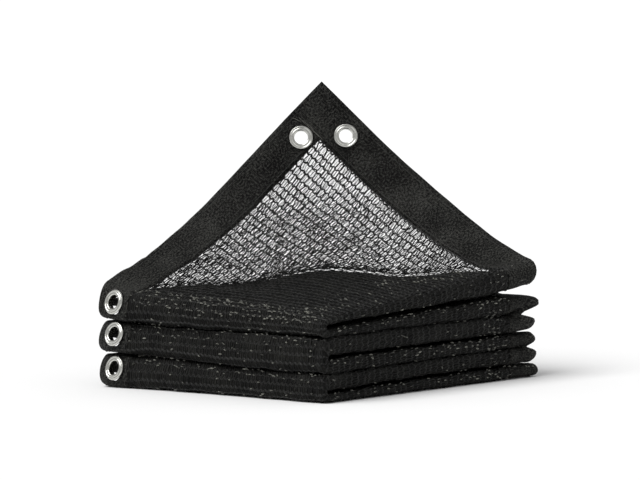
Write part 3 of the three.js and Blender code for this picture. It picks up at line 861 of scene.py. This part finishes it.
def lay_yarns(name, material, lines, half_width, half_height):
    """Joins yarns, each a line of flat places with their lift and relative size, into one piece."""
    rings = sum(len(line) for line in lines)
    bm = bmesh.new()
    bmesh.ops.create_grid(bm, x_segments=rings - 1, y_segments=TUBE_SIDES, size=1)
    bm.verts.index_update()
    flat = np.array([vert.co.xy for vert in bm.verts])
    ring = np.round((flat[:, 0] + 1) / 2 * (rings - 1)).astype(int)
    angle = np.round((flat[:, 1] + 1) / 2 * TUBE_SIDES) * 2 * math.pi / TUBE_SIDES
    starts = np.cumsum([len(line) for line in lines])[:-1]
    s, t, lift, size = np.concatenate(lines).T
    size = size * yarn_size(s, t)
    centre = place(s, t, lift)
    normal = cloth_normal(course_at(s, t), t)
    parts = np.split(centre, starts)
    ahead = np.concatenate([np.gradient(part, axis=0) for part in parts])
    across = np.cross(ahead, normal)
    across /= np.maximum(np.linalg.norm(across, axis=1, keepdims=True), 1e-9)
    sideways = (half_width * size[ring] * np.cos(angle))[:, None] * across[ring]
    upwards = (half_height * size[ring] * np.sin(angle))[:, None] * normal[ring]
    points = (centre[ring] + sideways + upwards) * MM
    begins = np.zeros(rings, bool)
    begins[starts] = True
    # The grid joins the end of each yarn to the next one
    between = [face for face in bm.faces if begins[max(ring[vert.index] for vert in face.verts)]]
    for vert, point in zip(bm.verts, points):
        vert.co = point
    bmesh.ops.delete(bm, geom=between, context="FACES")
    bmesh.ops.remove_doubles(bm, verts=bm.verts, dist=1e-6)
    bmesh.ops.holes_fill(bm, edges=bm.edges, sides=TUBE_SIDES)
    bmesh.ops.recalc_face_normals(bm, faces=bm.faces)
    return show(bm, name, material)


def allowed(line, keep):
    """The stretches of a line that lie where keep allows."""
    if keep is None:
        return [line]
    inside = keep(line[:, 0], line[:, 1])
    parts = np.split(line, np.flatnonzero(np.diff(inside.astype(int))) + 1)
    return [part for part in parts if len(part) > 2 and keep(part[1, 0], part[1, 1])]


def drift(places, step, size):
    """A slow random wander along a yarn."""
    knots = np.arange(places[0] - step, places[-1] + 2 * step, step)
    return np.interp(places, knots, RANDOM.normal(0, size, len(knots)))


def wales_within(low, high):
    """The numbers of the wales in a stretch of the course."""
    first = math.ceil((low - WALE_START) / WALE_SPACING)
    last = math.floor((high - WALE_START) / WALE_SPACING)
    return range(first, last + 1)


# Yarns in mm: half widths and half heights, lifts off the outer face, and spreads of what is random
WALE_HALF_WIDTH = 1.0
WALE_HALF_HEIGHT = 0.6
WALE_LIFT = -0.75
WALE_LIFT_WAVE = 0.3
WALE_SIZE_WAVE = 0.28
WALE_DRIFT_STEP = 17
WALE_DRIFT = 0.45
WALE_LIFT_SPREAD = 0.06
WALE_SIZE_SPREAD = 0.1
INLAY_HALF_WIDTH = 0.5
INLAY_HALF_HEIGHT = 0.34
INLAY_LIFT = -0.85
# Passes of the inlay to a stitch: each second one is drawn tighter than the one before it
INLAY_PASSES = 2
LOOSE_PASS, TIGHT_PASS = 1.2, 0.72
# How far a pass reaches over its two wales, as a share of their spacing
INLAY_OVERLAP = 0.06
INLAY_SHARES = [0.0, 0.35, 0.65, 1.0]
INLAY_SCATTER = 0.3
INLAY_SLANT = 0.6
INLAY_SLANT_SPREAD = 0.55
INLAY_BULGES = (0.05, 0.5)
INLAY_SIZE_SPREAD = 0.3
INLAY_SIZES = (0.25, 1.9)
INLAY_END_SIZE = 0.75
INLAY_ARCH_SIZE = 0.4
FILAMENT_HALF_WIDTH = 0.34
FILAMENT_SPACING = 0.46
FILAMENT_OVERLAP = 0.04
FILAMENT_SCATTER = 0.7
FILAMENT_LIFTS = (-0.3, 0.1)
FILAMENT_SIZES = (0.6, 1.5)
# Filaments are drawn from this far beyond the diagonal
FILAMENTS_FROM = -8
# Towards the peak the net faces the viewer, and more fine threads cross its holes
PEAK_RANGE = (30, 140)
WIDER_AT_PEAK = 0.55
EDGE_STEP = 2.0
EDGE_LIFT = -1.0
EDGE_HALF_WIDTH = 0.8
EDGE_HALF_HEIGHT = 0.5
# How far inside the net they lie along the edge tape and the end tape, and how thick the latter is
INSIDE_EDGE_TAPE = 0.5
INSIDE_END_TAPE = 0.7
END_YARN_SIZE = 1.5


def wale_lines(s_range, t_range, keep=None):
    """Chains of stitches, each a wavy line across the cloth's width."""
    lines = []
    for wale in wales_within(*s_range):
        t = np.arange(*t_range, STITCH_LENGTH / 4)
        turn = 2 * math.pi * t / STITCH_LENGTH + math.pi * (wale % 2)
        s = WALE_START + wale * WALE_SPACING + WALE_SWAY * np.sin(turn)
        s = s + drift(t, WALE_DRIFT_STEP, WALE_DRIFT)
        lift = WALE_LIFT + WALE_LIFT_WAVE * np.cos(turn)
        lift = lift + RANDOM.normal(0, WALE_LIFT_SPREAD, len(t))
        size = 1 + WALE_SIZE_WAVE * np.cos(2 * turn)
        size = size + RANDOM.normal(0, WALE_SIZE_SPREAD, len(t))
        lines += allowed(np.stack([s, t, lift, size], -1), keep)
    return lines


def inlay_lines(s_range, t_range, keep=None):
    """Inlay yarns that zigzag between neighbouring wales."""
    lines = []
    for wale in wales_within(*s_range)[:-1]:
        turns = np.arange(*t_range, STITCH_LENGTH / INLAY_PASSES)
        middle = turns + RANDOM.normal(0, INLAY_SCATTER, len(turns))
        # The zigzags on the two sides of a wale are a quarter of a stitch apart
        middle = middle + 0.25 * STITCH_LENGTH * (wale % 2)
        slant = INLAY_SLANT + RANDOM.normal(0, INLAY_SLANT_SPREAD, len(turns))
        bulge = RANDOM.uniform(*INLAY_BULGES, len(turns))
        pull = np.where(np.arange(len(turns)) % 2, TIGHT_PASS, LOOSE_PASS)
        size = np.clip(pull + RANDOM.normal(0, INLAY_SIZE_SPREAD, len(turns)), *INLAY_SIZES)
        share = np.tile(INLAY_SHARES, (len(turns), 1))
        share[1::2] = 1 - share[1::2]
        arch = np.sin(math.pi * share)
        crossed = wale - INLAY_OVERLAP + (1 + 2 * INLAY_OVERLAP) * share
        s = WALE_START + crossed * WALE_SPACING
        t = middle[:, None] + slant[:, None] * (2 * share - 1)
        lift = INLAY_LIFT + bulge[:, None] * arch
        width = size[:, None] * (INLAY_END_SIZE + INLAY_ARCH_SIZE * arch)
        line = np.stack([a.ravel() for a in (s, t, lift, width)], -1)
        lines += allowed(line, keep)
    return lines


def filament_lines(s_range, t_range, keep):
    """Thin filaments, split off the inlay yarns, that cross the holes between two wales."""
    lines = []
    for wale in wales_within(*s_range)[:-1]:
        ends = np.arange(*t_range, FILAMENT_SPACING)
        t = ends + RANDOM.normal(0, FILAMENT_SCATTER, len(ends))
        share = np.where(np.arange(len(ends)) % 2, 1 + FILAMENT_OVERLAP, -FILAMENT_OVERLAP)
        s = WALE_START + (wale + share) * WALE_SPACING
        lift = INLAY_LIFT + RANDOM.uniform(*FILAMENT_LIFTS, len(ends))
        to_peak = smooth(*PEAK_RANGE, beyond_diagonal(s, t))
        width = RANDOM.uniform(*FILAMENT_SIZES, len(ends)) * (1 + WIDER_AT_PEAK * to_peak)
        lines += allowed(np.stack([s, t, lift, width], -1), keep)
    return lines


def edge_lines():
    """Yarns along the tapes of the raised corner, where the net is sewn in."""
    tape_end = layer_stop(0, OPEN_TAPE_SHARE)
    s = np.arange(tape_end, FIRST_BEND, EDGE_STEP)
    t = np.arange(-NET_EDGE, -ROUND_FOLD, EDGE_STEP)
    along = np.broadcast_arrays(s, INSIDE_EDGE_TAPE - NET_EDGE, EDGE_LIFT, 1.0)
    across = np.broadcast_arrays(tape_end + INSIDE_END_TAPE, t, EDGE_LIFT, END_YARN_SIZE)
    return [np.stack(along, -1), np.stack(across, -1)]


# The loops that stand out: four places along each, with lift and relative size
FLECK_PLACES = np.linspace(-0.5, 0.5, 4)
FLECK_LIFTS = [-0.35, 0.1, 0.1, -0.35]
FLECK_SIZES = np.array([0.6, 1.0, 1.0, 0.6])
FLECK_HALF_WIDTH = 0.55
FLECK_LENGTHS = (1.6, 4.2)
# How far they are scattered off their wale, and how much farther where they lie along the course
FLECK_SCATTER = 1.9
COURSE_SCATTER = 0.5
STITCH_SCATTER = 0.5
# How far a loop moves aside as a whole, and how far its two ends do against each other
FLECK_ASIDE = 0.6
FLECK_SKEW = 0.7
FLECK_SIZE_RANGE = (0.6, 1.3)


def fleck_lines(rows):
    """Short loops that stand out, by stretch of the course, stretch of width, chance and direction.

    The direction is 0 for loops that lie along the wales and 1 for loops along the course.
    """
    lines = []
    for s_range, t_range, chance, along_course in rows:
        for wale in wales_within(*s_range):
            for stitch in np.arange(*t_range, STITCH_LENGTH / 2):
                if RANDOM.random() > chance:
                    continue
                along = RANDOM.uniform(*FLECK_LENGTHS) * FLECK_PLACES
                aside = RANDOM.normal(0, FLECK_ASIDE)
                aside = aside + RANDOM.normal(0, FLECK_SKEW) * FLECK_PLACES
                ds, dt = (along, aside) if along_course else (aside, along)
                off_wale = RANDOM.normal(0, FLECK_SCATTER + COURSE_SCATTER * along_course)
                s = WALE_START + wale * WALE_SPACING + off_wale + ds
                size = FLECK_SIZES * RANDOM.uniform(*FLECK_SIZE_RANGE)
                t = stitch + RANDOM.normal(0, STITCH_SCATTER) + dt
                lines.append(np.stack([s, t, FLECK_LIFTS, size], -1))
    return lines


def lay_knit(name, s_range, t_range, keep=None):
    """The wales and the inlay of a stretch of the net, as two pieces."""
    wales = wale_lines(s_range, t_range, keep)
    inlay = inlay_lines(s_range, t_range, keep)
    return [
        lay_yarns(f"{name}_wales", WALE_YARN, wales, WALE_HALF_WIDTH, WALE_HALF_HEIGHT),
        lay_yarns(f"{name}_inlay", INLAY_YARN, inlay, INLAY_HALF_WIDTH, INLAY_HALF_HEIGHT),
    ]


def above_crease(s, t):
    """Just below the diagonal and beyond it, where filaments cross the holes."""
    return beyond_diagonal(s, t) > FILAMENTS_FROM


def in_net(s, t):
    """Off the joint tapes, which lie round the back bends."""
    s = np.asarray(s)
    off = np.ones(s.shape, bool)
    for index in (1, 3):
        low = layer_stop(index, BENT_TAPE_SHARE)
        high = layer_stop(index + 1, BENT_TAPE_SHARE)
        off &= (s < low) | (s > high)
    return off


# The eyelets, as radii and heights over the tape's outer face
RING_PROFILE = [
    (EYELET_HOLE, -4.8),
    (6.9, -5.1),
    (7.35, -4.95),
    (7.35, -4.55),
    (6.9, -4.4),
    (6.9, 0.3),
    (EYELET_OUTER, 0.3),
    (EYELET_OUTER, 0.9),
    (10.5, 1.8),
    (9.6, 2.0),
    (9.0, 1.55),
    (8.3, 1.9),
    (7.2, 1.95),
    (6.5, 1.5),
    (EYELET_HOLE, 0.8),
]
WASHER_PROFILE = [(7.25, -4.2), (7.65, -4.2), (7.65, -3.6), (7.25, -3.6)]
TAPE_HOLE = 7.25
# The hole is wider in a bend, where the inside of the tape is drawn together
BENT_TAPE_HOLE = 8.6
EYELET_TURN = math.acos(BEND_EYELET_RISE ** (1 / BOXY)) / math.pi
OPEN_LENGTH = SIDE - FRONT_DEPTH_LEFT
# Each eyelet's place along the course, as u, and across the width
EYELET_SEATS = {
    "corner_right": (
        RIGHT_EYELET["from_edge"] / OPEN_LENGTH,
        RIGHT_EYELET["from_other"] - HALF_WIDTH,
    ),
    "corner_left": (
        LEFT_EYELET["from_other"] / OPEN_LENGTH,
        LEFT_EYELET["from_edge"] - HALF_WIDTH,
    ),
    "fold_upper": (1 + EYELET_TURN, EYELET_FROM_EDGE - HALF_WIDTH),
    "fold_middle": (5 + EYELET_TURN, EYELET_FROM_EDGE - HALF_WIDTH),
    "fold_lower": (9 + EYELET_TURN, EYELET_FROM_EDGE - HALF_WIDTH),
}
RING_STEPS = 56
RING_ROUNDING = 0.14
WASHER_ROUNDING = 0.12


def spun_ring(profile, rounding):
    """A ring about +Z, spun from a closed outline of radius and height with rounded corners."""
    bm = bmesh.new()
    verts = [bm.verts.new((radius * MM, 0, height * MM)) for radius, height in profile]
    for a, b in zip(verts, verts[1:] + verts[:1]):
        bm.edges.new((a, b))
    bmesh.ops.bevel(
        bm,
        geom=bm.verts[:] + bm.edges[:],
        offset=rounding * MM,
        segments=3,
        profile=0.5,
        affect="VERTICES",
        material=-1,
    )
    bmesh.ops.spin(
        bm,
        geom=bm.verts[:] + bm.edges[:],
        cent=(0, 0, 0),
        axis=(0, 0, 1),
        dvec=(0, 0, 0),
        angle=2 * math.pi,
        steps=RING_STEPS,
        use_merge=True,
        use_duplicate=False,
    )
    bmesh.ops.recalc_face_normals(bm, faces=bm.faces)
    return bm


def seat_matrix(seat):
    u, t = np.array([seat[0]]), np.array([seat[1]])
    centre = Vector((cloth_point(u, t)[0] * MM).tolist())
    axis = Vector(cloth_normal(u, t)[0].tolist())
    return Matrix.Translation(centre) @ axis.to_track_quat("Z", "Y").to_matrix().to_4x4()


def fit_eyelet(name, seat):
    parts = {"eyelet": (RING_PROFILE, RING_ROUNDING), "washer": (WASHER_PROFILE, WASHER_ROUNDING)}
    for part, (profile, rounding) in parts.items():
        bm = spun_ring(profile, rounding)
        bmesh.ops.transform(bm, matrix=seat_matrix(seat), verts=bm.verts)
        node = f"{part}_{name}"
        show(bm, f"{node}_spun", METAL, [node])


# Faces of the flat tape go where a corner of theirs is this far inside the hole
HOLE_MARGIN = 0.6


def eyelet_hole_cutter(names):
    """Cuts round holes for eyelets out of a flat tape, and draws the cut edge onto each circle."""
    centres = []
    for name in names:
        u, t = (np.array([value]) for value in EYELET_SEATS[name])
        radius = TAPE_HOLE if name.startswith("corner") else BENT_TAPE_HOLE
        centres.append((Vector((flat_length(u, t)[0], t[0])), radius))

    def cut(bm):
        for centre, radius in centres:
            gone = [
                face
                for face in bm.faces
                if any((vert.co.xy - centre).length < radius - HOLE_MARGIN for vert in face.verts)
            ]
            edge = {vert for face in gone for vert in face.verts}
            bmesh.ops.delete(bm, geom=gone, context="FACES")
            for vert in edge:
                if vert.is_valid:
                    out = (vert.co.xy - centre).normalized() * radius
                    vert.co.xy = centre + out

    return cut


TAPE_LIFT = -0.1
TAPE_WALL = 2.3
JOINT_BEND_CELL = 1.2


def tape_sheet(node, low, high, width, holes=(), fine=False, bend_cell=FINE_CELL):
    return cloth_sheet(
        f"{node}_cloth",
        course_stops(low, high, high if fine else 0, bend_cell),
        width,
        TAPE_LIFT,
        TAPE_WALL,
        TAPE_CLOTH,
        node,
        eyelet_hole_cutter(holes) if holes else None,
    )


STITCH = 3.4
STITCH_HALF_WIDTH = 0.32
STITCH_LIFT, DIPPED_LIFT = 0.12, -0.35
FRAYED_STEP = 1.5
FRAYED_HALF_WIDTH = 0.28
FRAYED_LIFTS = (0.0, 0.4)
FRAYED_SIZES = (0.5, 1.3)
FROM_OUTER_EDGE = 4.6
FROM_INNER_EDGE = 2.8


def stitch_line(start, end):
    """A line of lockstitches: the thread shows for a stitch, then dips into the tape."""
    length = math.hypot(end[0] - start[0], end[1] - start[1])
    count = int(length / STITCH)
    share = np.linspace(0, 1, 3 * count + 1)
    s = lerp(start[0], end[0], share)
    t = lerp(start[1], end[1], share)
    lift = np.where(np.arange(len(share)) % 3 == 0, DIPPED_LIFT, STITCH_LIFT)
    return np.stack([s, t, lift, np.ones(len(share))], -1)


def frayed_line(start, end, wander):
    """A loose thread that wanders along a seam on top of the tape."""
    count = int(math.hypot(end[0] - start[0], end[1] - start[1]) / FRAYED_STEP)
    share = np.linspace(0, 1, count)
    off = np.cumsum(RANDOM.normal(0, wander, count)) * np.sin(math.pi * share)
    s = lerp(start[0], end[0], share) + off
    t = lerp(start[1], end[1], share)
    lift = RANDOM.uniform(*FRAYED_LIFTS, count)
    size = RANDOM.uniform(*FRAYED_SIZES, count)
    return np.stack([s, t, lift, size], -1)


# The net: its three grounds, then the yarns on the faces that the photograph shows
ground_pieces = [net_ground(row) for row in range(len(PANELS))]

KNIT_START = WALE_START - WALE_SPACING
TOP_KNIT_END = STEP_STARTS[2] + 5
FIRST_PLY = (-NET_SEAM - TUCKED_IN, -ROUND_FOLD)
top_knit = lay_knit("top_ply", (KNIT_START, TOP_KNIT_END), FIRST_PLY)
top_knit.append(
    lay_yarns(
        "top_ply_filaments",
        INLAY_YARN,
        filament_lines((KNIT_START, FIRST_BEND), (-NET_SEAM, -ROUND_FOLD), above_crease),
        FILAMENT_HALF_WIDTH,
        FILAMENT_HALF_WIDTH,
    )
)
top_knit.append(
    lay_yarns("top_ply_edges", WALE_YARN, edge_lines(), EDGE_HALF_WIDTH, EDGE_HALF_HEIGHT)
)
ALL_FOLDS = (WALE_START, COURSE_END - WALE_START)
SECOND_PLY_END = ROUND_FOLD + 12
side_knit = lay_knit("fold_side", ALL_FOLDS, (-ROUND_FOLD, SECOND_PLY_END), in_net)
BEFORE_FOLD, AFTER_FOLD = 14, 12
for row, bend in ((1, 5), (2, 9)):
    front = (STEP_STARTS[bend] - BEFORE_FOLD, STEP_STARTS[bend + 1] + AFTER_FOLD)
    lay_knit(f"front_fold_{row}", front, FIRST_PLY)

# Loops that stand out, coloured pale as painted glints where the light catches them: rows on the
# front left folds, on the shoulders just below the wide grooves, along the right ends of the layers,
# and a few along every layer and on the top
FRONT_WIDTH = (-NET_EDGE + 2, -ROUND_FOLD)
SHOULDER = (2.0, 9.0)
FOLD_LINE = (-9.0, 9.0)
ROW_START, ROW_END, SPARSE_END = -3, 13, 36
RIGHT_FROM, RIGHT_TO = 40, 66
fleck_rows = []
for bend, chance in ((1, 0.62), (5, 0.42), (9, 0.42)):
    start = STEP_STARTS[bend]
    fleck_rows.append(((start + ROW_START, start + ROW_END), FRONT_WIDTH, chance, 0))
    fleck_rows.append(((start + ROW_END, start + SPARSE_END), FRONT_WIDTH, 0.1, 0))
layer_ranges = [(start, start + LAYER_LENGTH) for start in STEP_STARTS[:-1:2]]
for layer_range in layer_ranges[1::2]:
    fleck_rows.append((layer_range, SHOULDER, 0.35, 1))
for layer, (start, end) in enumerate(layer_ranges):
    right_end = (start + RIGHT_FROM, start + RIGHT_TO)
    if layer % 2:
        right_end = (end - RIGHT_TO, end - RIGHT_FROM)
    fleck_rows.append((right_end, FOLD_LINE, 0.45, 1))
    fleck_rows.append(((start, end), FOLD_LINE, 0.07, 1))
fleck_rows.append(((60, FIRST_BEND), (-60, -12), 0.16, 0))
flecks = lay_yarns(
    "standing_loops",
    GLINT_PAINTED_YARN,
    [line for line in fleck_lines(fleck_rows) if in_net(*line[0, :2])],
    FLECK_HALF_WIDTH,
    FLECK_HALF_WIDTH,
)

# The tapes and their eyelets
for row, node in enumerate(["joint_tape_upper", "joint_tape_lower"]):
    upper = 2 * row + 1
    tape_sheet(
        node,
        layer_stop(upper, BENT_TAPE_SHARE - SEAM_SHARE),
        layer_stop(upper + 1, BENT_TAPE_SHARE - SEAM_SHARE),
        net_width(COARSE_CELL),
        bend_cell=JOINT_BEND_CELL,
    )
top_end = layer_stop(0, OPEN_TAPE_SHARE - SEAM_SHARE)
tape_sheet(
    "end_tape_top", 0, top_end, full_width(FINE_CELL), ["corner_right"], fine=True
)
bottom_start = layer_stop(TOP_LAYER - 1, OPEN_TAPE_SHARE - SEAM_SHARE)
tape_sheet(
    "end_tape_bottom", bottom_start, COURSE_END, full_width(COARSE_CELL)
)
edge_low = layer_stop(0, OPEN_TAPE_SHARE + SEAM_SHARE)
edge_high = layer_stop(TOP_LAYER - 1, OPEN_TAPE_SHARE + SEAM_SHARE)
tape_sheet(
    "edge_tape_eyelets",
    edge_low,
    edge_high,
    -edge_width()[::-1],
    ["corner_left", "fold_upper", "fold_middle", "fold_lower"],
    fine=True,
)
tape_sheet("edge_tape_plain", edge_low, edge_high, edge_width())

for name, seat in EYELET_SEATS.items():
    fit_eyelet(name, seat)

# The sewing: two lines on the tapes of the raised corner, one on the other edge and end tape
OUTER_LINE = HALF_WIDTH - FROM_OUTER_EDGE
INNER_LINE = NET_EDGE + FROM_INNER_EDGE
END_INNER_LINE = TAPE_WIDTH - FROM_INNER_EDGE
LAST_LINE = COURSE_END - FROM_OUTER_EDGE
sewing = lay_yarns(
    "tape_stitching",
    THREAD,
    [
        stitch_line((edge_low, -INNER_LINE), (edge_high, -INNER_LINE)),
        stitch_line((edge_low, -OUTER_LINE), (edge_high, -OUTER_LINE)),
        stitch_line((edge_low, INNER_LINE), (edge_high, INNER_LINE)),
        stitch_line((FROM_OUTER_EDGE, -OUTER_LINE), (FROM_OUTER_EDGE, OUTER_LINE)),
        stitch_line((END_INNER_LINE, -OUTER_LINE), (END_INNER_LINE, INNER_LINE)),
        stitch_line((LAST_LINE, -OUTER_LINE), (LAST_LINE, OUTER_LINE)),
    ],
    STITCH_HALF_WIDTH,
    STITCH_HALF_WIDTH,
)
seam_threads = lay_yarns(
    "peak_seam_threads",
    FRAYED_AND_GLINT_PAINTED_THREAD,
    [
        frayed_line((top_end, -HALF_WIDTH + 9), (top_end, -NET_EDGE), 0.15),
        frayed_line((TAPE_WIDTH - 2.0, -HALF_WIDTH + 14), (TAPE_WIDTH - 1.0, -NET_EDGE + 3), 0.3),
        frayed_line((TAPE_WIDTH + 3.0, -HALF_WIDTH + 5), (TAPE_WIDTH, -HALF_WIDTH + 13), 0.4),
    ],
    FRAYED_HALF_WIDTH,
    FRAYED_HALF_WIDTH,
)


# The camera: its place and turn were fitted to the photograph's outline of the pack
TARGET = Vector((0, 0, 130 * MM)) + Vector(SHIFT.tolist()) * MM
TARGET_PIXEL = (316.76, 237.74)
PHOTO_WIDTH, PHOTO_HEIGHT = 640, 480
PIXEL = 0.9 * MM
SENSOR = 36
DISTANCE = 3.2
ELEVATION, AZIMUTH, ROLL = (math.radians(angle) for angle in (3.35, -1.174, 1.195))


def set_camera():
    away = Vector(
        (
            math.sin(AZIMUTH) * math.cos(ELEVATION),
            -math.cos(AZIMUTH) * math.cos(ELEVATION),
            math.sin(ELEVATION),
        )
    )
    level_right = Vector((math.cos(AZIMUTH), math.sin(AZIMUTH), 0))
    level_up = away.cross(level_right)
    right = level_right * math.cos(ROLL) - level_up * math.sin(ROLL)
    upward = level_up * math.cos(ROLL) + level_right * math.sin(ROLL)
    off_right = (PHOTO_WIDTH / 2 - TARGET_PIXEL[0]) * PIXEL
    off_down = (PHOTO_HEIGHT / 2 - TARGET_PIXEL[1]) * PIXEL
    aim = TARGET + right * off_right - upward * off_down
    camera = bpy.data.objects.new("camera", bpy.data.cameras.new("camera"))
    turn = Matrix((right, upward, away)).transposed().to_4x4()
    camera.matrix_world = Matrix.Translation(aim + away * DISTANCE) @ turn
    camera.data.sensor_width = SENSOR
    camera.data.lens = SENSOR * DISTANCE / (PHOTO_WIDTH * PIXEL)
    bpy.context.scene.collection.objects.link(camera)
    bpy.context.scene.camera = camera


FLOOR_HALF_SIZE = 6


def set_floor():
    bm = bmesh.new()
    bmesh.ops.create_grid(bm, x_segments=2, y_segments=2, size=FLOOR_HALF_SIZE)
    mesh = bpy.data.meshes.new("floor")
    bm.to_mesh(mesh)
    bm.free()
    floor = bpy.data.objects.new("floor", mesh)
    bpy.context.scene.collection.objects.link(floor)
    material, _, surface = start_material("white backdrop paper")
    surface.inputs["Base Color"].default_value = linear("#fbfbfb")
    surface.inputs["Roughness"].default_value = 0.95
    surface.inputs["Specular IOR Level"].default_value = 0.1
    mesh.materials.append(material)


ROOM_LIGHT = 0.52
BACKGROUND_SEEN = 1.1
OVERHEAD_LIGHT = 2.15
LIGHT_SPREAD = math.radians(45)
# The way the light falls: from above, a little from the left and the front
LIGHT_WAY = Vector((0.6, 0.35, -1))


def set_light():
    world = bpy.data.worlds.new("studio")
    world.use_nodes = True
    tree = world.node_tree
    background = tree.nodes["Background"]
    background.inputs["Color"].default_value = (1, 1, 1, 1)
    ray = add_node(tree, "ShaderNodeLightPath")
    strength = add_node(
        tree,
        "ShaderNodeMapRange",
        {"Value": ray.outputs["Is Camera Ray"], "To Min": ROOM_LIGHT, "To Max": BACKGROUND_SEEN},
    )
    tree.links.new(strength.outputs[0], background.inputs["Strength"])
    bpy.context.scene.world = world
    sun = bpy.data.lights.new("overhead light", "SUN")
    sun.energy = OVERHEAD_LIGHT
    sun.angle = LIGHT_SPREAD
    light = bpy.data.objects.new("overhead light", sun)
    light.rotation_euler = LIGHT_WAY.to_track_quat("-Z", "Y").to_euler()
    bpy.context.scene.collection.objects.link(light)
    bpy.context.scene.view_settings.view_transform = "Standard"


set_camera()
set_floor()
set_light()
